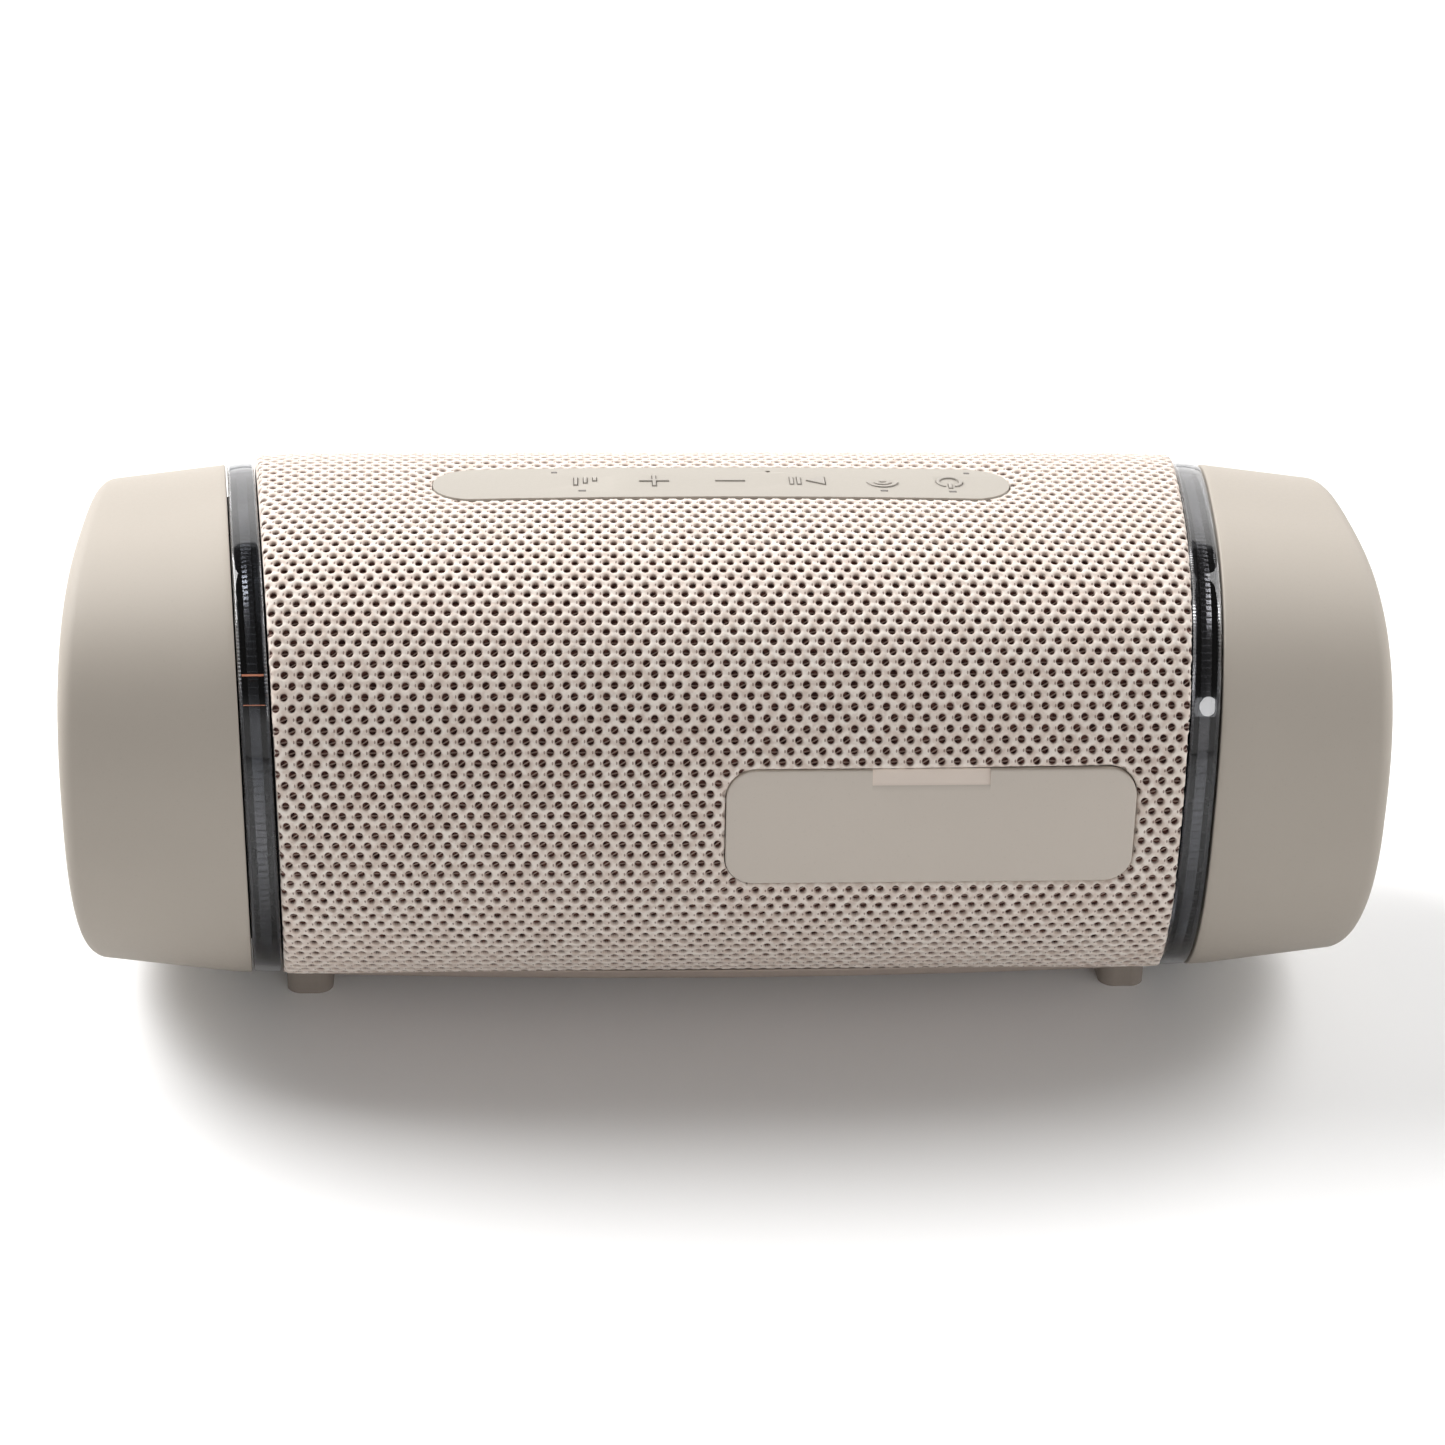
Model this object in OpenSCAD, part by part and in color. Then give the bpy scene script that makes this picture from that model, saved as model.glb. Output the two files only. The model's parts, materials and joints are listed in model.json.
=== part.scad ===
// Portable wireless speaker: a fabric-covered barrel body with two end caps,
// each with a passive radiator, two slanted light rings, a control strip on top
// and a hinged cover over the sockets at the rear.
// Frame: X along the body, +Y out of the front, -Y out of the rear, +Z up,
// origin on the table under the middle of the body. Millimetres.

/* [Body] */
// Overall length between the outer rims of the end caps
body_length = 242; // [200:1:280]
// Half of the depth from front to rear at the middle
half_depth = 54; // [46:0.5:62]
// Half of the height at the middle, without the feet
half_height = 48.4; // [40:0.2:56]
// Squareness of the upper half of the section, where 2 is an ellipse
top_square = 2.75; // [2:0.05:3.5]
// Squareness of the lower half of the section, where 2 is an ellipse
low_square = 2; // [2:0.05:3]
// Share of the section lost to the barrel shape at the rings
barrel = 0.04; // [0:0.005:0.08]
// Share of the section left at the end rims
rim_share = 0.895; // [0.82:0.005:0.95]
// Height of the feet below the body
foot_height = 2; // [1:0.25:4]
// Flat sides of the drawn section
section_sides = 72; // [36:12:120]

/* [Skin] */
// Thickness of the fabric sleeve
fabric_t = 1.3; // [0.8:0.1:2.5]
// Depth of the grille frame's outer face under the fabric's face
grille_out = 1.7; // [1.2:0.1:3]
// Depth of the grille frame's inner face under the fabric's face
grille_in = 3.4; // [2.6:0.1:5]
// Height of the edge where the fabric meets the base plate
base_edge_z = 17.6; // [12:0.2:26]
// Thickness of the base plate's wall
base_t = 2.6; // [1.6:0.1:4]
// Gap between neighbouring skin pieces
seam = 0.15; // [0.05:0.05:0.4]

/* [Light rings] */
// Distance from the middle to the ring's fabric side, at half depth
ring_in = 87.6; // [80:0.2:95]
// Width of the ring along the body
ring_width = 5.6; // [4:0.2:8]
// Slant of the ring's plane, millimetres along X for each one along Y
ring_slant = 0.109; // [0:0.005:0.2]
// Depth of the ring's face under the body's face
ring_sunk = 0.25; // [0:0.05:0.6]
// Depth of the lens's inner face under the body's face
lens_in = 2.6; // [1.6:0.1:3.2]
// Number of light emitters on each strip
emitters = 14; // [6:1:24]

/* [End caps] */
// Radius of the opening over the passive radiator
recess_r = 36.5; // [32:0.5:38]
// Radius of the opening at the rim
mouth_r = 38.5; // [34:0.5:40]
// Distance from the middle to the end of the cap's hollow
cap_hollow_x = 113.4; // [110:0.2:116]

/* [Cabinet] */
// Depth of the cabinet's outer face under the body's face
cabinet_out = 8.3; // [7:0.1:10]
// Thickness of the cabinet's wall
cabinet_t = 2.6; // [1.8:0.1:4]
// Distance from the middle to the cabinet's end face
cabinet_x = 109; // [104:0.5:111]
// Thickness of the sealing gasket between the halves
gasket_t = 1; // [0.6:0.1:2]

/* [Control strip] */
// Half of the strip's length
strip_half = 55; // [45:0.5:62]
// Half of the strip's width
strip_r = 7.65; // [6:0.05:10]
// Distance of the strip's centre line from the middle, towards the front
strip_y = 5.65; // [-4:0.05:8]
// Thickness of the strip under the fabric's face
strip_t = 1.5; // [1:0.1:2]
// Height of the strip above the fabric's face
strip_up = 0.2; // [0:0.05:0.5]
// Height of the key marks above the fabric's face
mark_up = 0.4; // [0.2:0.05:0.8]
// Line width of the key marks
mark_w = 0.6; // [0.4:0.05:1]
// Clearance around each key mark
mark_gap = 0.12; // [0.08:0.01:0.2]
// Distance of the keys from the middle, towards the front
key_y = 5.8; // [2:0.1:9]
// Radius of the plunger under each key
plunger_r = 3.6; // [3:0.1:4.2]
// Travel of the keys on top
key_travel = 0.35; // [0.2:0.05:0.6]
// Position along X of the power key
power_x = 43.5; // [38:0.5:48]
// Position along X of the pairing key
pairing_x = 30.6; // [26:0.2:34]
// Position along X of the play key
play_x = 16.4; // [12:0.2:20]
// Position along X of the volume down key
down_x = 1.5; // [-2:0.5:6]
// Position along X of the volume up key
up_x = -13; // [-18:0.5:-8]
// Position along X of the sound mode key
mode_x = -26.1; // [-32:0.1:-22]

/* [Socket bay] */
// Left edge of the cover
cover_x0 = -1.4; // [-10:0.2:10]
// Right edge of the cover
cover_x1 = 72.8; // [60:0.2:76]
// Lower edge of the cover
cover_z0 = 44.4; // [38:0.2:50]
// Upper edge of the cover
cover_z1 = 67.1; // [60:0.1:74]
// Radius of the cover's corners
cover_r = 5.2; // [3:0.2:8]
// Thickness of the cover's wall
cover_t = 1.8; // [1.2:0.1:3]
// Gap between the cover and the fabric
cover_gap = 0.35; // [0.2:0.05:0.6]
// Left edge of the finger notch in the cover
notch_x0 = 24.8; // [20:0.2:30]
// Right edge of the finger notch in the cover
notch_x1 = 46.1; // [40:0.1:52]
// Height of the finger notch
notch_h = 2.9; // [2:0.1:4]
// Depth of the finger notch
notch_t = 0.8; // [0.4:0.1:1.2]
// Radius of the hinge bead along the cover's lower edge
bead_r = 1.7; // [1:0.05:1.8]
// Distance of the hinge axis's left end from the middle, towards the rear
hinge_y0 = 53.5; // [52:0.1:54]
// Distance of the hinge axis's right end from the middle, towards the rear
hinge_y1 = 52.2; // [51:0.1:53]
// Height of the hinge axis
hinge_z = 46.15; // [44:0.05:48]
// Radius of the round keys in the bay
bay_key_r = 2.5; // [2:0.1:3.5]
// Position along X of the link key
link_key_x = 16; // [12:0.5:20]
// Position along X of the battery key
battery_key_x = 24; // [20:0.5:28]
// Position along X of the small data socket
socket_c_x = 35; // [30:0.5:40]
// Position along X of the charging outlet
socket_a_x = 53; // [46:0.5:58]

/* [Drivers] */
// Distance of each driver from the middle
driver_x = 46; // [40:0.5:50]
// Height of the drivers' axes
driver_z = 53.4; // [48:0.2:58]
// Distance of the flange's mounting face from the middle
driver_seat_y = 38.4; // [34:0.2:42]
// Radius of the driver's flange
driver_r = 26; // [22:0.5:28]
// Radius of the passive radiator's flange
radiator_r = 39; // [36:0.5:40]

/* [Power and electronics] */
// Radius of each battery cell
cell_r = 9.2; // [9:0.05:9.6]
// Length of each battery cell
cell_length = 65; // [60:0.5:70]
// Height of the main board's lower face
board_z = 50; // [46:0.5:52]
// Thickness of the boards
board_t = 1.6; // [0.8:0.1:2]

/* [Hidden] */
mid_z = foot_height + half_height;
end_x = body_length / 2;
ring_out = ring_in + ring_width;
slice_t = 0.02;
reach = 70;
tall = 130;
ring_share = 0.945;
round_fn = 96;
small_fn = 32;
eps = 0.01;
cabinet_top = mid_z + half_height - cabinet_out;
panel_board_z = cabinet_top + 0.3;
panel_board_t = 1.2;
switch_h = 1.6;
switch_top = panel_board_z + panel_board_t + switch_h;
plunger_z = switch_top + key_travel + 0.05;
flange_y = -48.6;
bay_back_y = -43;
mouth_x0 = cover_x0 + 4.4;
mouth_x1 = cover_x1 - 4.3;
mouth_z0 = cover_z0 + 4.1;
mouth_z1 = cover_z1 - 2.6;
mouth_r2 = 3;
bay_key_z = 56;
hinge_turn = atan((hinge_y0 - hinge_y1) / (cover_x1 - cover_x0));
board_x0 = 2;
board_x1 = 70;
board_y0 = -41.2;
board_y1 = -12;
post_xy = [[8, -36], [67, -36], [8, -16], [67, -16]];
tower_xz = [[-80, 33.5], [80, 33.5], [-80, -33.5], [80, -33.5], [0, 34.4], [0, -34.4]];
lamp_xy = [[-26.7, 1.2, 1.2], [30.6, 1.2, 1.2], [43.7, 1.2, 1.2], [-32, 10.8, 0.9], [47.4, 11, 0.9]];
holder_x0 = -77;
holder_x1 = -6;
cell_y = -25;
cell_zs = [41.5, 61.5];
keys_x = [power_x, pairing_x, play_x, down_x, up_x, mode_x];

// ---------- the body's shape ----------

// Share of the full section left at a distance x from the middle
function share(x) = abs(x) < ring_out
    ? 1 - barrel * pow(x / ring_out, 2)
    : 1 - barrel - (1 - barrel - rim_share) * (abs(x) - ring_out) / (end_x - ring_out);

// Signed power
function spow(v, e) = sign(v) * pow(abs(v), e);

// Outline of the body in (y, z), k the share of the section, d the inset
function outline(k, d) = [
    for (i = [0:section_sides - 1])
        let (
            a = i * 360 / section_sides,
            e = 2 / (cos(a) > 0 ? top_square : low_square)
        )
        [(half_depth * k - d) * spow(sin(a), e), (half_height * k - d) * spow(cos(a), e)]
];

// Height of the body's face over the point (x, y) of its upper side
function top_z(x, y) = mid_z + half_height * share(x)
    * pow(1 - pow(abs(y) / (half_depth * share(x)), top_square), 1 / top_square);

module slice(x, d) translate([x, 0, mid_z]) rotate([90, 0, 90])
    linear_extrude(slice_t) polygon(outline(share(x), d));

// Convex length of the body between x0 and x1, inset by d
module blank(x0, x1, d, steps) hull() for (i = [0:steps])
    slice(x0 + (x1 - x0) * i / steps, d);

// Straight length with the body's section
module prism(x0, x1, k, d) translate([x0, 0, mid_z]) rotate([90, 0, 90])
    linear_extrude(x1 - x0) polygon(outline(k, d));

// Space between the slanted planes on both sides of the middle
module middle_block(x) translate([0, 0, -eps]) linear_extrude(tall) polygon([
    [-x + ring_slant * reach, -reach], [x - ring_slant * reach, -reach],
    [x + ring_slant * reach, reach], [-x - ring_slant * reach, reach]
]);

// Space between two slanted planes on the right
module ring_block(x0, x1) translate([0, 0, -eps]) linear_extrude(tall) polygon([
    [x0 - ring_slant * reach, -reach], [x1 - ring_slant * reach, -reach],
    [x1 + ring_slant * reach, reach], [x0 + ring_slant * reach, reach]
]);

module left_side() mirror([1, 0, 0]) children();

// Profile (r, h) turned about the X axis, h along +X
module turn_x() rotate([90, 0, 90]) rotate_extrude($fn = round_fn) children();

// Profile (r, h) turned about a driver's axis, h along +Y
module turn_y(x) translate([x, 0, driver_z]) rotate([-90, 0, 0])
    rotate_extrude($fn = round_fn) children();

// ---------- flat outlines ----------

module round_rect(x0, x1, y0, y1, r) {
    translate([x0 + r, y0]) square([x1 - x0 - 2 * r, y1 - y0]);
    translate([x0, y0 + r]) square([x1 - x0, y1 - y0 - 2 * r]);
    for (x = [x0 + r, x1 - r])
        for (y = [y0 + r, y1 - r])
            translate([x, y]) circle(r = r, $fn = small_fn);
}

// Outline in (x, z) pushed through from y0 to y1
module rear_prism(y0, y1) translate([0, y1, 0]) rotate([90, 0, 0])
    linear_extrude(y1 - y0) children();

module cover_outline(g) round_rect(
    cover_x0 - g, cover_x1 + g, cover_z0 - g, cover_z1 + g, cover_r + g);

module mouth_outline(g) round_rect(
    mouth_x0 - g, mouth_x1 + g, mouth_z0 - g, mouth_z1 + g, mouth_r2 + g);

module strip_outline(g) {
    translate([-strip_half + strip_r, strip_y - strip_r - g])
        square([2 * (strip_half - strip_r), 2 * (strip_r + g)]);
    for (x = [-strip_half + strip_r, strip_half - strip_r])
        translate([x, strip_y]) circle(r = strip_r + g, $fn = 64);
}

// ---------- key marks, drawn to be read from the front ----------

module bar(w, h, g) square([w + 2 * g, h + 2 * g], center = true);

module mark_plus(g) {
    bar(5.4, mark_w, g);
    bar(mark_w, 5.4, g);
}

module mark_minus(g) bar(5.4, mark_w, g);

module mark_play(g) {
    translate([1.6, 0]) polygon([
        [1.5 + g * 1.5, -2 - g * 2], [1.5 + g * 1.5, 2 + g * 2], [-2 - g * 2, 0]
    ]);
    translate([-1.8, 0]) bar(mark_w, 3.8, g);
    translate([-3.2, 0]) bar(mark_w, 3.8, g);
}

module mark_waves(g) {
    circle(r = 0.55 + g, $fn = small_fn);
    for (r = [1.5, 2.7])
        intersection() {
            difference() {
                circle(r = r + mark_w / 2 + g, $fn = 48);
                circle(r = r - mark_w / 2 - g, $fn = 48);
            }
            translate([-4, -4.5 + g]) square([8, 4]);
        }
}

module mark_power(g) {
    difference() {
        circle(r = 2.2 + mark_w / 2 + g, $fn = 48);
        circle(r = 2.2 - mark_w / 2 - g, $fn = 48);
        translate([-1 + g, -4]) square([2 - 2 * g, 4]);
    }
    translate([0, -1.9]) bar(mark_w, 2.4, g);
}

module mark_bars(g) {
    for (i = [0:2])
        translate([-1.8 + 1.8 * i, 0.5 * i]) bar(mark_w, 4 - i, g);
}

// Mark number i: 0 power, 1 pairing, 2 play, 3 down, 4 up, 5 sound mode
module mark(i, g) {
    if (i == 0) mark_power(g);
    if (i == 1) mark_waves(g);
    if (i == 2) mark_play(g);
    if (i == 3) mark_minus(g);
    if (i == 4) mark_plus(g);
    if (i == 5) mark_bars(g);
}

// ---------- fasteners ----------

// Screw with its head above z = 0 and its shank below
module screw(head_r, head_h, shank_r, length) difference() {
    union() {
        cylinder(r = head_r, h = head_h, $fn = small_fn);
        translate([0, 0, -length]) cylinder(r = shank_r, h = length + eps, $fn = small_fn);
    }
    translate([0, 0, head_h / 2]) cylinder(r = head_r * 0.5, h = head_h, $fn = 6);
}

// ---------- outer skin ----------

module shell(d0, d1, steps = 8) intersection() {
    difference() {
        blank(-96, 96, d0, steps);
        blank(-97, 97, d1, steps);
    }
    middle_block(ring_in - seam);
}

module fabric_sleeve() color([0.83, 0.79, 0.73]) difference() {
    shell(0, fabric_t);
    translate([-reach * 2, -reach, -eps]) cube([reach * 4, reach * 2, base_edge_z + seam]);
    translate([0, 0, mid_z]) linear_extrude(reach) strip_outline(seam);
    rear_prism(-reach, -40) cover_outline(cover_gap);
}

module grille_frame() color([0.2, 0.18, 0.17]) difference() {
    shell(grille_out, grille_in, 4);
    translate([-reach * 2, -reach, -eps]) cube([reach * 4, reach * 2, base_edge_z + seam]);
    rear_prism(-reach, -40) cover_outline(cover_gap + 0.1);
    for (x = keys_x)
        translate([x, key_y, mid_z]) cylinder(r = plunger_r + 0.4, h = reach, $fn = small_fn);
    for (p = lamp_xy)
        translate([p[0], p[1], mid_z + reach / 2]) cube([p[2] + 0.6, 1.2, reach], center = true);
    for (x = [-driver_x, driver_x])
        for (i = [-3:3])
            translate([x, 40, driver_z + 6.6 * i])
                cube([2 * sqrt(24 * 24 - pow(6.6 * i, 2)), 40, 4], center = true);
}

module base_plate() color([0.60, 0.54, 0.48]) intersection() {
    shell(0, base_t);
    translate([-reach * 2, -reach, -eps]) cube([reach * 4, reach * 2, base_edge_z + eps]);
}

module foot_right() color([0.30, 0.27, 0.25]) difference() {
    linear_extrude(8) round_rect(76, 85, -18, 18, 3);
    blank(70, 92, -0.05, 4);
}

module foot_left() left_side() foot_right();

// ---------- light rings ----------

module light_ring_right() color([0.12, 0.11, 0.11]) intersection() {
    difference() {
        blank(78, 104, ring_sunk, 3);
        blank(77, 105, lens_in, 3);
    }
    ring_block(ring_in + seam, ring_out - seam);
}

module light_ring_left() left_side() light_ring_right();

module reflector_right() color([0.88, 0.88, 0.86]) intersection() {
    difference() {
        prism(78, 104, ring_share, 3);
        prism(77, 105, ring_share, 3.6);
    }
    ring_block(ring_in + seam, ring_out - seam);
}

module reflector_left() left_side() reflector_right();

module led_strip_right() color([0.93, 0.93, 0.90]) {
    intersection() {
        difference() {
            prism(78, 104, ring_share, 4.6);
            prism(77, 105, ring_share, 5);
        }
        ring_block(ring_in + 0.6, ring_out - 0.6);
    }
    for (i = [0:emitters - 1])
        let (
            a = (i + 0.5) * 360 / emitters,
            e = 2 / (cos(a) > 0 ? top_square : low_square),
            y = (half_depth * ring_share - 4.5) * spow(sin(a), e),
            z = (half_height * ring_share - 4.5) * spow(cos(a), e)
        )
        translate([ring_in + ring_width / 2 + ring_slant * y, y, mid_z + z])
            rotate([-a, 0, 0]) cube([2.2, 2.2, 1], center = true);
}

module led_strip_left() left_side() led_strip_right();

// ---------- end caps and passive radiators ----------

module end_cap_right() color([0.80, 0.76, 0.70]) intersection() {
    difference() {
        hull() {
            for (x = [82, 88, 94, 101, 108, 114, 117.8]) slice(x, 0);
            slice(119, 0.35);
            slice(120, 1.1);
            slice(120.7, 2.1);
            slice(end_x - slice_t, 3.3);
        }
        prism(70, cap_hollow_x, 1, cabinet_out - 0.3);
        translate([110, 0, mid_z]) rotate([0, 90, 0])
            cylinder(r = recess_r, h = 20, $fn = round_fn);
        translate([end_x - 2, 0, mid_z]) rotate([0, 90, 0])
            cylinder(r1 = recess_r, r2 = mouth_r, h = 2 + eps, $fn = round_fn);
    }
    ring_block(ring_out + seam, 140);
}

module end_cap_left() left_side() end_cap_right();

module radiator_frame_right() color([0.13, 0.13, 0.13]) difference() {
    translate([0, 0, mid_z]) turn_x() polygon([
        [30.5, 104], [31.8, 104], [31.8, cabinet_x + 0.2], [radiator_r, cabinet_x + 0.2],
        [radiator_r, 111.4], [radiator_r - 0.4, 111.8], [31.2, 111.8], [30.5, 111.2]
    ]);
    for (a = [45:90:315])
        translate([100, 0, mid_z]) rotate([a, 0, 0]) translate([0, 0, 35.6])
            rotate([0, 90, 0]) cylinder(r = 1.15, h = 20, $fn = small_fn);
}

module radiator_frame_left() left_side() radiator_frame_right();

module radiator_surround_right() color([0.08, 0.08, 0.08]) translate([0, 0, mid_z])
    turn_x() translate([26.3, 110]) difference() {
        circle(r = 3.85, $fn = 48);
        circle(r = 3.05, $fn = 48);
        translate([-5, -5]) square([10, 5]);
    }

module radiator_surround_left() left_side() radiator_surround_right();

module radiator_plate_right() color([0.15, 0.15, 0.15]) translate([0, 0, mid_z])
    turn_x() polygon([
        [0, 109.4], [21.4, 109.4], [22.1, 110], [22.1, 111.2], [21.4, 111.7],
        [18.5, 111.7], [17.6, 111], [0, 110.6]
    ]);

module radiator_plate_left() left_side() radiator_plate_right();

module radiator_weight_right() color([0.62, 0.63, 0.65]) translate([0, 0, mid_z])
    turn_x() polygon([[0, 102.4], [13.4, 102.4], [14, 103], [14, 109.4], [0, 109.4]]);

module radiator_weight_left() left_side() radiator_weight_right();

module radiator_screws() color([0.35, 0.35, 0.36]) for (m = [0, 1])
    mirror([m, 0, 0]) for (a = [45:90:315])
        translate([111.8, 0, mid_z]) rotate([a, 0, 0]) translate([0, 0, 35.6])
            rotate([0, 90, 0]) screw(1.9, 1.1, 0.95, 5.4);

// ---------- control strip ----------

module control_panel() color([0.84, 0.80, 0.74]) difference() {
    intersection() {
        difference() {
            blank(-60, 60, -strip_up, 6);
            blank(-61, 61, strip_t, 6);
        }
        translate([0, 0, mid_z]) linear_extrude(reach) strip_outline(0);
    }
    for (i = [0:5])
        translate([keys_x[i], key_y, mid_z]) linear_extrude(reach) mark(i, mark_gap);
    for (p = lamp_xy)
        translate([p[0], p[1], mid_z + reach / 2])
            cube([p[2] + 0.2, 0.8, reach], center = true);
    translate([9, 10.8, mid_z]) cylinder(r = 0.5, h = reach, $fn = small_fn);
}

// Key number i: the raised mark on top of a round plunger
module top_key(i) {
    x = keys_x[i];
    plunger_top = top_z(abs(x) + plunger_r, key_y + plunger_r) - strip_t - 0.12;
    translate([x, key_y, plunger_z])
        cylinder(r = plunger_r, h = plunger_top - plunger_z, $fn = small_fn);
    translate([x, key_y, plunger_top - 0.3])
        linear_extrude(top_z(x, key_y) + mark_up - plunger_top + 0.3) mark(i, 0);
}

module key_power() color([0.52, 0.48, 0.44]) top_key(0);

module key_pairing() color([0.52, 0.48, 0.44]) top_key(1);

module key_play() color([0.52, 0.48, 0.44]) top_key(2);

module key_volume_down() color([0.52, 0.48, 0.44]) top_key(3);

module key_volume_up() color([0.52, 0.48, 0.44]) top_key(4);

module key_sound_mode() color([0.52, 0.48, 0.44]) top_key(5);

module light_pipes() color([0.92, 0.92, 0.90]) for (p = lamp_xy)
    let (z0 = panel_board_z + panel_board_t + 0.3, z1 = top_z(p[0], p[1]) + strip_up)
    translate([p[0], p[1], (z0 + z1) / 2]) cube([p[2], 0.6, z1 - z0], center = true);

module control_board() color([0.10, 0.32, 0.20]) difference() {
    translate([-52, key_y - 7, panel_board_z]) cube([104, 14, panel_board_t]);
    for (x = [-49, 49])
        translate([x, key_y, panel_board_z - 1]) cylinder(r = 1.1, h = 4, $fn = small_fn);
}

module tact_switches() color([0.75, 0.75, 0.76]) for (x = keys_x)
    translate([x, key_y, panel_board_z + panel_board_t]) {
        translate([-2.2, -2.2, 0]) cube([4.4, 4.4, switch_h - 0.6]);
        cylinder(r = 1.1, h = switch_h, $fn = small_fn);
    }

module microphone() color([0.55, 0.50, 0.30])
    translate([9, 10.8, panel_board_z + panel_board_t]) difference() {
        translate([-1.5, -1.2, 0]) cube([3, 2.2, 1]);
        translate([0, 0, 0.5]) cylinder(r = 0.4, h = 2, $fn = small_fn);
    }

// ---------- socket bay ----------

// Half section of the hinge bead, which thins out along the cover's round corners
function bead_profile() = concat(
    [[0, 2], [0, cover_x1 - cover_x0 - 2]],
    [for (u = [2, 2.8, 3.6, cover_r]) [bead_at(u), cover_x1 - cover_x0 - u]],
    [for (u = [cover_r, 3.6, 2.8, 2]) [bead_at(u), u]]
);

function bead_at(u) = bead_r - cover_r + sqrt(pow(cover_r, 2) - pow(cover_r - u, 2));

module port_cover() color([0.72, 0.67, 0.61]) difference() {
    union() {
        intersection() {
            difference() {
                blank(-10, 80, 0, 5);
                blank(-11, 81, cover_t, 5);
            }
            rear_prism(-reach, -40) intersection() {
                cover_outline(0);
                translate([-20, hinge_z]) square([120, 40]);
            }
        }
        intersection() {
            blank(-10, 80, 0, 5);
            translate([cover_x0, -hinge_y0, hinge_z]) rotate([0, 0, hinge_turn])
                rotate([0, 90, 0]) rotate_extrude($fn = small_fn) polygon(bead_profile());
        }
        rear_prism(-52.4, -46.6) difference() {
            mouth_outline(-1.6);
            mouth_outline(-2.8);
        }
    }
    translate([notch_x0, -reach, cover_z1 - notch_h])
        cube([notch_x1 - notch_x0, reach - half_depth + notch_t + 0.75, notch_h + 1]);
}

module port_bay() color([0.16, 0.15, 0.15]) difference() {
    union() {
        rear_prism(flange_y, flange_y + 1.6) mouth_outline(3);
        rear_prism(flange_y, bay_back_y + 1.6) mouth_outline(1.5);
    }
    rear_prism(-reach, bay_back_y) mouth_outline(0);
    for (x = [link_key_x, battery_key_x])
        translate([x, bay_back_y - 1, bay_key_z]) rotate([-90, 0, 0])
            cylinder(r = bay_key_r + 0.15, h = 4, $fn = small_fn);
    rear_prism(bay_back_y - 1, -40)
        round_rect(socket_c_x - 4.65, socket_c_x + 4.65, 51.55, 55.15, 1.4);
    rear_prism(bay_back_y - 1, -40)
        translate([socket_a_x - 6.7, 51.55]) square([13.4, 6]);
}

module port_seal() color([0.07, 0.07, 0.07]) rear_prism(flange_y - 0.6, flange_y)
    difference() {
        mouth_outline(1.6);
        mouth_outline(0.4);
    }

module usb_c_socket() color([0.78, 0.78, 0.80]) {
    rear_prism(bay_back_y - 0.3, -35.6) difference() {
        round_rect(socket_c_x - 4.5, socket_c_x + 4.5, 51.7, 55, 1.3);
        round_rect(socket_c_x - 4.2, socket_c_x + 4.2, 52, 54.7, 1);
    }
    rear_prism(-36.2, -35.6)
        round_rect(socket_c_x - 4.4, socket_c_x + 4.4, 51.8, 54.9, 1.2);
    rear_prism(-42.2, -35.8)
        translate([socket_c_x - 3.3, 53.0]) square([6.6, 0.7]);
}

module usb_a_socket() color([0.80, 0.80, 0.82]) {
    rear_prism(bay_back_y - 0.3, -29.6) difference() {
        translate([socket_a_x - 6.55, 51.7]) square([13.1, 5.7]);
        translate([socket_a_x - 6.25, 52]) square([12.5, 5.1]);
    }
    rear_prism(-30.2, -29.6)
        translate([socket_a_x - 6.5, 51.75]) square([13, 5.6]);
    rear_prism(-42, -29.8)
        translate([socket_a_x - 5.5, 54.9]) square([11, 1.9]);
}

module bay_key(x) translate([x, 0, bay_key_z]) rotate([-90, 0, 0]) {
    translate([0, 0, bay_back_y - 1.2]) cylinder(r = bay_key_r, h = 3, $fn = small_fn);
    translate([0, 0, bay_back_y + 1.7]) cylinder(r = bay_key_r + 0.8, h = 0.8, $fn = small_fn);
}

module bay_key_link() color([0.32, 0.31, 0.30]) bay_key(link_key_x);

module bay_key_battery() color([0.32, 0.31, 0.30]) bay_key(battery_key_x);

// ---------- cabinet ----------

// Everything of the cabinet that both halves share, before it is split
module cabinet_shell() {
    difference() {
        prism(-cabinet_x, cabinet_x, 1, cabinet_out);
        prism(-cabinet_x + 3, cabinet_x - 3, 1, cabinet_out + cabinet_t);
        translate([-cabinet_x - 1, 0, mid_z]) rotate([0, 90, 0])
            cylinder(r = 32, h = 2 * cabinet_x + 2, $fn = round_fn);
        for (m = [0, 1])
            mirror([m, 0, 0]) for (a = [45:90:315])
                translate([100, 0, mid_z]) rotate([a, 0, 0]) translate([0, 0, 35.6])
                    rotate([0, 90, 0]) cylinder(r = 1, h = 20, $fn = small_fn);
    }
}

module front_half() translate([-reach * 2, gasket_t / 2, 0]) cube([reach * 4, reach, tall]);

module rear_half() translate([-reach * 2, -reach - gasket_t / 2, 0]) cube([reach * 4, reach, tall]);

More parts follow.
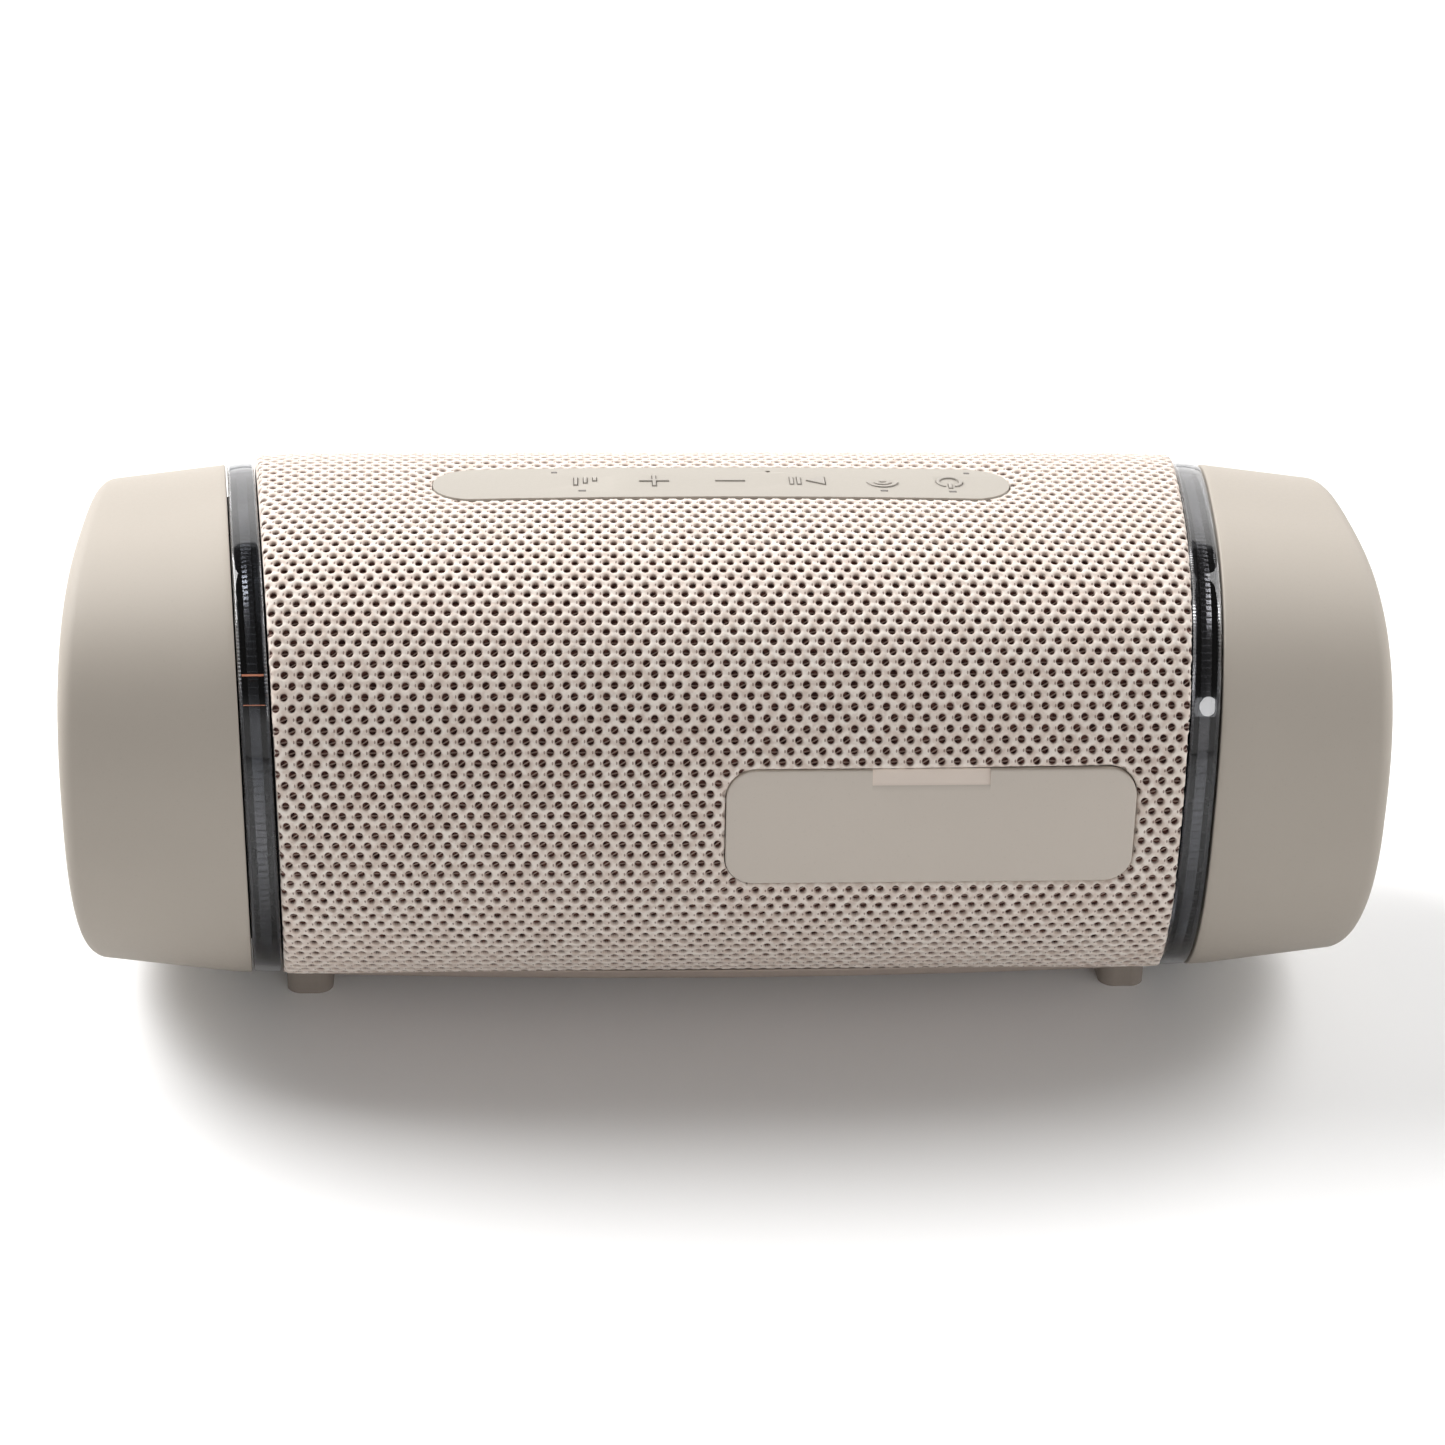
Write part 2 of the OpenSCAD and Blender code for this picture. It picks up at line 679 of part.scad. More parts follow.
module cabinet_front() color([0.11, 0.11, 0.12]) difference() {
    union() {
        intersection() {
            cabinet_shell();
            front_half();
        }
        intersection() {
            prism(-cabinet_x, cabinet_x, 1, cabinet_out);
            for (x = [-driver_x, driver_x])
                translate([x, driver_seat_y - 5, driver_z]) rotate([-90, 0, 0])
                    cylinder(r = driver_r + 3, h = 5, $fn = round_fn);
        }
        intersection() {
            prism(-cabinet_x, cabinet_x, 1, cabinet_out + 1);
            for (p = tower_xz)
                translate([p[0], gasket_t / 2, mid_z + p[1]]) rotate([-90, 0, 0])
                    cylinder(r = 4.2, h = 15, $fn = small_fn);
        }
    }
    for (x = [-driver_x, driver_x])
        translate([x, driver_seat_y, driver_z]) rotate([-90, 0, 0]) {
            cylinder(r = driver_r + 0.4, h = reach, $fn = round_fn);
            translate([0, 0, -10]) cylinder(r = 21.9, h = 20, $fn = round_fn);
            for (a = [45:90:315])
                rotate(a) translate([23.8, 0, -4]) cylinder(r = 1, h = 6, $fn = small_fn);
        }
    for (p = tower_xz)
        translate([p[0], gasket_t / 2 - 1, mid_z + p[1]]) rotate([-90, 0, 0])
            cylinder(r = 1.05, h = 12, $fn = small_fn);
}

module cabinet_rear() color([0.11, 0.11, 0.12]) difference() {
    union() {
        intersection() {
            cabinet_shell();
            rear_half();
        }
        rear_prism(flange_y + 1.7, -40.5) mouth_outline(4);
        intersection() {
            prism(-cabinet_x, cabinet_x, 1, cabinet_out + 1);
            union() {
                for (p = tower_xz)
                    translate([p[0], -gasket_t / 2, mid_z + p[1]]) rotate([90, 0, 0])
                        cylinder(r = 4.2, h = reach, $fn = small_fn);
                for (p = post_xy)
                    translate([p[0], p[1], 0]) cylinder(r = 3, h = board_z, $fn = small_fn);
                for (x = [-58, -32])
                    translate([x, -10, 83.6]) cylinder(r = 2.2, h = 10, $fn = small_fn);
            }
        }
    }
    rear_prism(-reach, -38) mouth_outline(1.7);
    for (p = tower_xz)
        translate([p[0], 0, mid_z + p[1]]) rotate([90, 0, 0]) {
            translate([0, 0, -1]) cylinder(r = 1.3, h = 20, $fn = small_fn);
            translate([0, 0, 9]) cylinder(r = 2.7, h = reach, $fn = small_fn);
        }
    for (p = post_xy)
        translate([p[0], p[1], board_z - 7]) cylinder(r = 1, h = 10, $fn = small_fn);
}

module cabinet_gasket() color([0.05, 0.05, 0.05]) rear_prism(-gasket_t / 2, gasket_t / 2)
    difference() {
        translate([-cabinet_x + 0.6, mid_z - half_height + cabinet_out + 0.6])
            square([2 * cabinet_x - 1.2, 2 * (half_height - cabinet_out) - 1.2]);
        translate([-cabinet_x + 2.4, mid_z - half_height + cabinet_out + 2.1])
            square([2 * cabinet_x - 4.8, 2 * (half_height - cabinet_out) - 4.2]);
        for (x = [-cabinet_x, cabinet_x])
            translate([x - 3, mid_z - 32.5]) square([6, 65]);
    }

module cabinet_screws() color([0.45, 0.45, 0.47]) for (p = tower_xz)
    translate([p[0], -9, mid_z + p[1]]) rotate([90, 0, 0]) screw(2.4, 1.6, 1, 18);

// ---------- drivers ----------

module driver_frame(x) difference() {
    turn_y(x) polygon([
        [20.6, 41], [driver_r, 41], [driver_r, 38.6], [21.5, 38.6], [17.2, 27],
        [17.2, 25], [9.6, 25], [9.6, 25.6], [11, 26.5], [15.6, 26.5], [20, 38.6]
    ]);
    translate([x, 0, driver_z]) rotate([-90, 0, 0]) {
        for (a = [0:90:270])
            rotate(a) translate([15, -4.5, 28]) cube([10, 9, 7]);
        for (a = [45:90:315])
            rotate(a) translate([23.8, 0, 36]) cylinder(r = 1.2, h = 8, $fn = small_fn);
    }
}

module driver_frame_left() color([0.22, 0.22, 0.23]) driver_frame(-driver_x);

module driver_frame_right() color([0.22, 0.22, 0.23]) driver_frame(driver_x);

module driver_magnet(x) turn_y(x) polygon([
    [0, 12], [15.4, 12], [16, 12.6], [16, 15], [15, 15], [15, 22.4], [16, 22.4],
    [16, 24.9], [9.2, 24.9], [9.2, 15], [7.4, 15], [7.4, 24.9], [0, 24.9]
]);

module driver_magnet_left() color([0.50, 0.51, 0.53]) driver_magnet(-driver_x);

module driver_magnet_right() color([0.50, 0.51, 0.53]) driver_magnet(driver_x);

module driver_cone(x) turn_y(x) polygon([
    [0, 31.5], [4, 31.2], [8, 29.8], [8.6, 29], [16.1, 38.6], [16.6, 38.1],
    [8.9, 27.6], [8.6, 18], [7.9, 18], [7.9, 28.8], [4, 30.4], [0, 30.7]
]);

module driver_cone_left() color([0.18, 0.18, 0.19]) driver_cone(-driver_x);

module driver_cone_right() color([0.18, 0.18, 0.19]) driver_cone(driver_x);

module driver_surround(x) turn_y(x) translate([18.4, 38.9]) difference() {
    circle(r = 1.45, $fn = small_fn);
    circle(r = 0.95, $fn = small_fn);
    translate([-2, -2]) square([4, 2]);
}

module driver_surround_left() color([0.07, 0.07, 0.07]) driver_surround(-driver_x);

module driver_surround_right() color([0.07, 0.07, 0.07]) driver_surround(driver_x);

module driver_screws() color([0.35, 0.35, 0.36]) for (x = [-driver_x, driver_x])
    for (a = [45:90:315])
        translate([x, 41, driver_z]) rotate([-90, 0, 0]) rotate(a) translate([23.8, 0, 0])
            screw(1.9, 1.1, 0.9, 6);

// ---------- power, boards and wires ----------

module battery_cells() color([0.16, 0.36, 0.52]) for (z = cell_zs)
    translate([-74, cell_y, z]) rotate([0, 90, 0]) {
        cylinder(r = cell_r, h = cell_length, $fn = 64);
        translate([0, 0, cell_length - eps]) cylinder(r = 2.8, h = 0.8, $fn = small_fn);
    }

module battery_holder() color([0.14, 0.14, 0.14]) difference() {
    translate([holder_x0, cell_y - 11, 31.5]) cube([holder_x1 - holder_x0, 13, 40.5]);
    for (z = cell_zs)
        translate([-74.3, cell_y, z]) rotate([0, 90, 0])
            cylinder(r = cell_r + 0.25, h = cell_length + 1.6, $fn = 64);
    translate([-74.3, cell_y, cell_zs[0]])
        cube([cell_length + 1.6, 5, cell_zs[1] - cell_zs[0]]);
}

module main_board() color([0.08, 0.30, 0.18]) {
    difference() {
        translate([board_x0, board_y0, board_z])
            cube([board_x1 - board_x0, board_y1 - board_y0, board_t]);
        for (p = post_xy)
            translate([p[0], p[1], board_z - 1]) cylinder(r = 1.2, h = 4, $fn = small_fn);
    }
    translate([30, -27, board_z + board_t - eps]) cube([9, 9, 1.2]);
    translate([44, -26, board_z + board_t - eps]) cube([6, 6, 1]);
    translate([14, -24, board_z + board_t - eps]) cube([7, 5, 1.6]);
    translate([54, -24, board_z + board_t - eps]) cube([8, 8, 3]);
    for (x = [link_key_x, battery_key_x]) {
        translate([x - 3, -39.5, board_z + board_t - eps]) cube([6, 3, 7.2]);
        translate([x, -39.4, bay_key_z]) rotate([90, 0, 0])
            cylinder(r = 1, h = 0.6, $fn = small_fn);
    }
}

module antenna_board() color([0.12, 0.34, 0.22]) difference() {
    translate([-64, -15, 82.4]) cube([38, 10, 1]);
    for (x = [-61.5, -28.5])
        translate([x, -10, 82]) cylinder(r = 0.8, h = 3, $fn = small_fn);
}

// Round lead through a list of points
module lead(points, r) {
    for (i = [0:len(points) - 2])
        let (
            d = points[i + 1] - points[i],
            l = norm(d)
        )
        translate(points[i]) rotate([0, acos(d[2] / l), atan2(d[1], d[0])])
            cylinder(r = r, h = l, $fn = small_fn);
    for (p = points) translate(p) sphere(r = r * 1.1, $fn = small_fn);
}

module wiring_harness() color([0.70, 0.12, 0.10]) {
    lead([[40, -14, 53.2], [40, -3, 60], [46, 4, 75], [46, 21, 75], [46, 25.6, 73]], 0.7);
    lead([[5, -14, 53.2], [-2, -6, 66], [-20, 0, 79], [-46, 4, 79], [-46, 21, 76], [-46, 25.6, 73]], 0.7);
    lead([[8, -20, 53.2], [0, -20, 53.2], [-5.1, -20, 56]], 0.9);
}

module board_screws() color([0.45, 0.45, 0.47]) for (p = post_xy)
    translate([p[0], p[1], board_z + board_t]) screw(2, 1.2, 0.9, 7);

fabric_sleeve();
grille_frame();
base_plate();
foot_left();
foot_right();
end_cap_left();
end_cap_right();
light_ring_left();
light_ring_right();
reflector_left();
reflector_right();
led_strip_left();
led_strip_right();
radiator_frame_left();
radiator_frame_right();
radiator_surround_left();
radiator_surround_right();
radiator_plate_left();
radiator_plate_right();
radiator_weight_left();
radiator_weight_right();
radiator_screws();
control_panel();
key_power();
key_pairing();
key_play();
key_volume_down();
key_volume_up();
key_sound_mode();
light_pipes();
control_board();
tact_switches();
microphone();
port_cover();
port_bay();
port_seal();
usb_c_socket();
usb_a_socket();
bay_key_link();
bay_key_battery();
cabinet_front();
cabinet_rear();
cabinet_gasket();
driver_frame_left();
driver_frame_right();
driver_magnet_left();
driver_magnet_right();
driver_cone_left();
driver_cone_right();
driver_surround_left();
driver_surround_right();
driver_screws();
battery_cells();
battery_holder();
main_board();
antenna_board();
wiring_harness();
cabinet_screws();
board_screws();
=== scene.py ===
"""Looks of the portable wireless speaker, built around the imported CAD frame."""

import json
import math

import bmesh
import bpy
import numpy as np
from mathutils import Matrix


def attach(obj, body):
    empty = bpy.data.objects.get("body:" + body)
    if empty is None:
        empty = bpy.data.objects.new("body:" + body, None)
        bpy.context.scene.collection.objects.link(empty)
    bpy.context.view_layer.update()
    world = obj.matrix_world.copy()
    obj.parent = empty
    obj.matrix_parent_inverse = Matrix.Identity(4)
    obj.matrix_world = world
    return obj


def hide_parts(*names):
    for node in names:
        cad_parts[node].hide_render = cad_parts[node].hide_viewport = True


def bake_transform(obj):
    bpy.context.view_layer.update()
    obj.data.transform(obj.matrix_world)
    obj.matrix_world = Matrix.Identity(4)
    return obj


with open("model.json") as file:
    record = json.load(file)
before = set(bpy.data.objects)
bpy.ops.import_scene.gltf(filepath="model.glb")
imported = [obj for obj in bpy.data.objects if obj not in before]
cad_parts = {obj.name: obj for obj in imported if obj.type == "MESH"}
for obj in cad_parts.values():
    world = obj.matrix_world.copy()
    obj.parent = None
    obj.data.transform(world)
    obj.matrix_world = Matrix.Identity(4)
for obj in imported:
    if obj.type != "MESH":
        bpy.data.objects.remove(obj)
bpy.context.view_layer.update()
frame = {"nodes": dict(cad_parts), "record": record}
NODES = frame["nodes"]
MM = 0.001

# ---------- the body's shape, in millimetres, as the CAD has it ----------
HALF_D, HALF_H, MID_Z = 54.0, 48.4, 50.4
TOP_SQ, LOW_SQ = 2.75, 2.0
BARREL, RIM_SHARE, END_X = 0.04, 0.895, 121.0
RING_IN, RING_OUT, SLANT, SEAM = 87.6, 93.2, 0.109, 0.15
BASE_Z = 17.6
STRIP_HALF, STRIP_R, STRIP_Y = 55.0, 7.65, 5.65
COVER = (-1.4, 72.8, 44.4, 67.1, 5.2)
COVER_GAP, COVER_SIDE_GAP = 0.35, 0.15
RECESS_R, MOUTH_R = 36.5, 38.5


def share(x):
    """Size of the section at x, as a share of the middle one."""
    x = np.abs(x)
    return np.where(
        x < RING_OUT,
        1 - BARREL * (x / RING_OUT) ** 2,
        1 - BARREL - (1 - BARREL - RIM_SHARE) * (x - RING_OUT) / (END_X - RING_OUT),
    )


def outline(a, k, d):
    """(y, z) of the section at angle a from the top, towards +Y, with share k and inset d."""
    s, c = np.sin(a), np.cos(a)
    e = np.where(c > 0, 2 / TOP_SQ, 2 / LOW_SQ)
    y = (HALF_D * k - d) * np.sign(s) * np.abs(s) ** e
    z = (HALF_H * k - d) * np.sign(c) * np.abs(c) ** e
    return y, MID_Z + z


def arc_table(steps=8001):
    """Angles from the top to the bottom, and the arc length of the widest section up to each."""
    a = np.linspace(0, math.pi, steps)
    y, z = outline(a, 1.0, 0.0)
    return a, np.concatenate([[0], np.cumsum(np.hypot(np.diff(y), np.diff(z)))])


TABLE_A, TABLE_L = arc_table()
HALF_GIRTH = float(TABLE_L[-1])


def angle_of(s):
    """Angle at the arc length s from the top, negative towards the rear."""
    return np.sign(s) * np.interp(np.abs(s), TABLE_L, TABLE_A)


def arc_of(a):
    """Arc length from the top at that angle, the inverse of angle_of."""
    return np.sign(a) * np.interp(np.abs(a), TABLE_A, TABLE_L)


def angle_at_z(z, k, side):
    """Angle on that side (-1 rear, 1 front) where the section with share k has the height z."""
    h = np.clip((z - MID_Z) / (HALF_H * k), -1, 1)
    c = np.sign(h) * np.abs(h) ** np.where(h > 0, TOP_SQ / 2, LOW_SQ / 2)
    return side * np.arccos(c)


def angle_at_y(y, k):
    """Angle on the upper side where the section has that y."""
    return np.sign(y) * np.arcsin(np.clip(np.abs(y) / (HALF_D * k), 0, 1) ** (TOP_SQ / 2))


def points(x, a, d):
    """Points of the body's face at x and angle a, inset by d."""
    y, z = outline(a, share(x), d)
    return np.stack([x + 0 * y, y, z], axis=-1)


# ---------- meshes ----------
def mesh(name, verts, faces, material, body="body", smooth=True, uvs=None):
    """Object from millimetres and faces, riding a body unless body is None; uvs by layer name."""
    data = bpy.data.meshes.new(name)
    data.from_pydata((np.asarray(verts, float) * MM).tolist(), [], faces)
    for layer, values in (uvs or {}).items():
        uv = data.uv_layers.new(name=layer)
        uv.data.foreach_set("uv", np.asarray(values, np.float32).ravel())
    data.polygons.foreach_set("use_smooth", [smooth] * len(data.polygons))
    data.validate()
    o = bpy.data.objects.new(name, data)
    bpy.context.scene.collection.objects.link(o)
    data.materials.append(material)
    if body:
        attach(o, body)
    return o


def grid_faces(rows, cols, flip=False):
    """Quads of a grid of rows x cols vertices, whose columns close on themselves."""
    faces = []
    for r in range(rows - 1):
        for c in range(cols):
            q = [r * cols + c, r * cols + (c + 1) % cols,
                 (r + 1) * cols + (c + 1) % cols, (r + 1) * cols + c]
            faces.append(q[::-1] if flip else q)
    return faces


def loft(name, rings, material, flip=False, loop=False, **kw):
    """Skin over rings of equally many points; loop joins the last ring to the first."""
    rings = [np.asarray(r, float) for r in rings]
    cols = len(rings[0])
    if loop:
        rings = rings + [rings[0]]
    faces = grid_faces(len(rings), cols, flip)
    verts = np.concatenate(rings[:-1] if loop else rings)
    if loop:
        n = len(verts)
        faces = [[i % n for i in f] for f in faces]
    return mesh(name, verts, faces, material, **kw)


# ---------- materials ----------
class Nodes:
    """Short hand for the node tree of a new material, or of the world given."""

    def __init__(self, name=None, world=None):
        self.material = world or bpy.data.materials.new(name)
        self.material.use_nodes = True
        self.tree = self.material.node_tree
        self.tree.nodes.clear()
        self.out = self.add("ShaderNodeOutputWorld" if world else "ShaderNodeOutputMaterial")

    def add(self, kind, **values):
        node = self.tree.nodes.new(kind)
        for k, v in values.items():
            setattr(node, k, v)
        return node

    def link(self, a, b):
        self.tree.links.new(a, b)

    def put(self, socket, value):
        if isinstance(value, bpy.types.NodeSocket):
            self.link(value, socket)
        else:
            socket.default_value = value

    def math(self, op, a, b=None, c=None, clamp=False):
        node = self.add("ShaderNodeMath", operation=op, use_clamp=clamp)
        for i, v in enumerate((a, b, c)):
            if v is not None:
                self.put(node.inputs[i], v)
        return node.outputs[0]

    def noise(self, vector, scale, detail=3.0, rough=0.5):
        node = self.add("ShaderNodeTexNoise")
        self.link(vector, node.inputs["Vector"])
        node.inputs["Scale"].default_value = scale
        node.inputs["Detail"].default_value = detail
        node.inputs["Roughness"].default_value = rough
        return node.outputs["Fac"]

    def step(self, value, low, high, a=0.0, b=1.0):
        """value from low..high to a..b, smooth and clamped."""
        node = self.add("ShaderNodeMapRange", interpolation_type="SMOOTHSTEP")
        self.put(node.inputs["Value"], value)
        for k, v in (("From Min", low), ("From Max", high), ("To Min", a), ("To Max", b)):
            node.inputs[k].default_value = v
        return node.outputs["Result"]

    def mix(self, fac, a, b):
        node = self.add("ShaderNodeMix", data_type="RGBA")
        self.put(node.inputs[0], fac)
        for socket, v in ((node.inputs[6], a), (node.inputs[7], b)):
            self.put(socket, v if isinstance(v, bpy.types.NodeSocket) else (*v, 1.0))
        return node.outputs[2]

    def bump(self, height, strength, distance, normal=None):
        node = self.add("ShaderNodeBump")
        node.inputs["Strength"].default_value = strength
        node.inputs["Distance"].default_value = distance
        self.link(height, node.inputs["Height"])
        if normal is not None:
            self.link(normal, node.inputs["Normal"])
        return node.outputs["Normal"]

    def position(self):
        return self.add("ShaderNodeTexCoord").outputs["Object"]

    def principled(self, **values):
        node = self.add("ShaderNodeBsdfPrincipled")
        for k, v in values.items():
            key = k.replace("_", " ")
            self.put(node.inputs[key], (*v, 1.0) if isinstance(v, tuple) and len(v) == 3 else v)
        self.link(node.outputs[0], self.out.inputs["Surface"])
        return node


def srgb(r, g, b):
    """Linear colour from 0..255 display values, none of them near black."""
    return tuple(((c / 255 + 0.055) / 1.055) ** 2.4 for c in (r, g, b))


def plastic(name, colour, rough=0.5, grain=900.0, bump=0.06, vary=0.03, spread=0.08, edge=0.0,
            metallic=0.0, coat=0.0, specular=0.5):
    """Moulded or painted surface: fine grain in bump and roughness, slow colour drift, worn edges."""
    m = Nodes(name)
    p = m.position()
    fine, slow = m.noise(p, grain, 4.0, 0.6), m.noise(p, 22.0, 2.0)
    dark = tuple(c * (1 - vary * 1.6) for c in colour)
    light = tuple(min(1.0, c * (1 + vary)) for c in colour)
    tone = m.mix(m.step(slow, 0.3, 0.7), dark, light)
    speck = m.noise(p, grain * 1.7, 2.0)
    tone = m.mix(m.step(speck, 0.62, 0.75, 0.0, 0.35), tone, tuple(c * 0.86 for c in colour))
    if edge:
        point = m.add("ShaderNodeNewGeometry").outputs["Pointiness"]
        worn = m.math("MULTIPLY", m.step(point, 0.52, 0.60), m.step(slow, 0.35, 0.6))
        pale = tuple(min(1, c * 1.25 + 0.02) for c in colour)
        tone = m.mix(m.math("MULTIPLY", worn, edge), tone, pale)
    shader = m.principled(
        Base_Color=tone,
        Roughness=m.step(fine, 0.25, 0.75, max(0.03, rough - spread), min(1.0, rough + spread)),
        Normal=m.bump(fine, bump, 0.00012),
    )
    shader.inputs["Metallic"].default_value = metallic
    shader.inputs["Specular IOR Level"].default_value = specular
    if coat:
        shader.inputs["Coat Weight"].default_value = coat
        shader.inputs["Coat Roughness"].default_value = 0.08
    return m.material


def brushed(name, colour, rough=0.32, metallic=1.0):
    """Plated or machined metal with fine lines and dull patches."""
    m = Nodes(name)
    p = m.position()
    drawn = m.add("ShaderNodeMapping")
    drawn.inputs["Scale"].default_value = (1.0, 14.0, 14.0)
    m.link(p, drawn.inputs["Vector"])
    lines = m.noise(drawn.outputs[0], 420.0, 5.0, 0.7)
    patches = m.noise(p, 90.0, 3.0)
    tone = m.mix(m.step(patches, 0.35, 0.7), tuple(c * 0.82 for c in colour), colour)
    shader = m.principled(
        Base_Color=tone,
        Roughness=m.step(lines, 0.2, 0.8, rough - 0.1, rough + 0.14),
        Normal=m.bump(lines, 0.08, 0.0001),
    )
    shader.inputs["Metallic"].default_value = metallic
    return m.material


def board(name):
    """Solder mask with faint copper tracks under it."""
    m = Nodes(name)
    p = m.position()
    track = m.add("ShaderNodeTexBrick")
    track.inputs["Scale"].default_value = 260.0
    track.inputs["Mortar Size"].default_value = 0.03
    track.inputs["Color1"].default_value = (0.012, 0.085, 0.040, 1)
    track.inputs["Color2"].default_value = (0.016, 0.110, 0.050, 1)
    track.inputs["Mortar"].default_value = (0.05, 0.22, 0.10, 1)
    m.link(p, track.inputs["Vector"])
    fine = m.noise(p, 500.0, 3.0)
    m.principled(
        Base_Color=track.outputs["Color"],
        Roughness=m.step(fine, 0.3, 0.7, 0.28, 0.45),
        Normal=m.bump(track.outputs["Fac"], 0.2, 0.00005),
    )
    return m.material


HOLE_X, HOLE_S = 0.70, 0.78         # half width and half height of a hole
YARN = srgb(236, 227, 218)
YARN_DARK = srgb(214, 199, 188)


def knit():
    """Spacer mesh: yarn on top; painted shade inside each hole, over its rim and in a slit beside it,
    with the lower layer's thread in a lighter painted shade.

    The UV map "cell" holds a point's place from the middle of its hole in millimetres,
    "luck" two random numbers per hole.
    """
    m = Nodes("knit_mesh")
    cell = m.add("ShaderNodeSeparateXYZ")
    m.link(m.add("ShaderNodeUVMap", uv_map="cell").outputs[0], cell.inputs[0])
    luck = m.add("ShaderNodeSeparateXYZ")
    m.link(m.add("ShaderNodeUVMap", uv_map="luck").outputs[0], luck.inputs[0])
    lx, ly, r1, r2 = cell.outputs[0], cell.outputs[1], luck.outputs[0], luck.outputs[1]
    p = m.position()
    ex = m.math("DIVIDE", lx, HOLE_X)
    es = m.math("DIVIDE", ly, HOLE_S)
    radius = m.math("SQRT", m.math("ADD", m.math("MULTIPLY", ex, ex), m.math("MULTIPLY", es, es)))
    inside = m.step(radius, 0.80, 1.02, 1.0, 0.0)
    # a thread of the lower layer crosses each hole at its own slant
    slant = m.math("ADD", m.math("MULTIPLY", r1, 0.9), -0.1)
    across = m.math("ADD", m.math("SUBTRACT", ly, m.math("MULTIPLY", lx, slant)),
                    m.math("ADD", m.math("MULTIPLY", r2, 0.24), -0.02))
    thread = m.step(m.math("ABSOLUTE", across), 0.07, 0.20, 1.0, 0.0)
    # painted shade in the depth of each hole: dark red-brown, standing in for shade and light bounced
    # off the cream yarn there
    floor = m.noise(p, 1500.0, 2.0)
    deep = m.mix(m.step(floor, 0.35, 0.65), srgb(44, 20, 17), srgb(92, 58, 50))
    # the lower layer's thread is cream yarn; its colour here is painted shade, lighter than the hole's
    crossing = m.math("MULTIPLY", thread, m.step(r1, 0.0, 1.0, 0.55, 0.95))
    deep = m.mix(crossing, deep, srgb(176, 156, 145))
    # a small slit in the yarn beside each hole, drawn as a dent with painted shade for its dark colour
    sx = m.math("DIVIDE", m.math("ADD", lx, 1.04), 0.17)
    ss = m.math("DIVIDE", m.math("ADD", ly, 0.02), 0.36)
    from_slit = m.math("ADD", m.math("MULTIPLY", sx, sx), m.math("MULTIPLY", ss, ss))
    slit = m.step(from_slit, 0.3, 1.3, 1.0, 0.0)
    # fibres along the strands
    fibre = m.noise(p, 2600.0, 3.0, 0.65)
    strand = m.noise(p, 700.0, 2.0)
    yarn = m.mix(m.step(strand, 0.35, 0.68), YARN, YARN_DARK)
    yarn = m.mix(m.step(m.noise(p, 60.0, 2.0), 0.3, 0.7, 0.0, 0.25), yarn, srgb(226, 208, 196))
    # painted shade on the yarn round each hole's rim, where it curves down into the hole
    yarn = m.mix(m.step(radius, 1.02, 1.28, 0.45, 0.0), yarn, srgb(186, 165, 153))
    # painted shade of the slit
    yarn = m.mix(m.math("MULTIPLY", slit, 0.75), yarn, srgb(120, 92, 82))
    colour = m.mix(inside, yarn, deep)
    height = m.math("SUBTRACT", m.math("MULTIPLY", fibre, 0.35), m.math("MULTIPLY", slit, 1.0))
    shader = m.principled(
        Base_Color=colour,
        Roughness=m.step(fibre, 0.2, 0.8, 0.78, 0.98),
        Normal=m.bump(height, 0.55, 0.00016),
    )
    shader.inputs["Sheen Weight"].default_value = 0.12
    shader.inputs["Sheen Roughness"].default_value = 0.5
    shader.inputs["Specular IOR Level"].default_value = 0.25
    return m.material


def smoked():
    """Smoked lens: gloss that grows towards grazing angles over a tinted see-through body.

    The UV map "across" runs from 0 at the mesh to 1 at the cap. The lens is clear along
    both edges on the upper side, where the reflector's teeth show through.
    """
    m = Nodes("smoked_lens")
    p = m.position()
    across = m.add("ShaderNodeSeparateXYZ")
    m.link(m.add("ShaderNodeUVMap", uv_map="across").outputs[0], across.inputs[0])
    off = m.math("MULTIPLY", m.math("ABSOLUTE", m.math("SUBTRACT", across.outputs[0], 0.5)), 2.0)
    smoke = m.mix(m.step(m.noise(p, 40.0), 0.3, 0.7), (0.50, 0.51, 0.53), (0.58, 0.58, 0.59))
    clear = m.add("ShaderNodeBsdfTransparent")
    height = m.add("ShaderNodeSeparateXYZ")
    m.link(p, height.inputs[0])
    window = m.math("MULTIPLY", m.step(off, 0.76, 0.86), m.step(height.outputs[2], 0.072, 0.084))
    m.put(clear.inputs["Color"], m.mix(window, smoke, (0.93, 0.93, 0.93)))
    gloss = m.add("ShaderNodeBsdfAnisotropic")
    gloss.inputs["Color"].default_value = (1, 1, 1, 1)
    m.put(gloss.inputs["Roughness"], m.step(m.noise(p, 900.0, 3.0), 0.3, 0.8, 0.02, 0.06))
    facing = m.add("ShaderNodeLayerWeight")
    facing.inputs["Blend"].default_value = 0.5
    grazing = m.math("POWER", facing.outputs["Facing"], 5.0)
    blend = m.add("ShaderNodeMixShader")
    m.link(m.math("MULTIPLY_ADD", grazing, 0.95, 0.045), blend.inputs[0])
    m.link(clear.outputs[0], blend.inputs[1])
    m.link(gloss.outputs[0], blend.inputs[2])
    m.link(blend.outputs[0], m.out.inputs["Surface"])
    return m.material


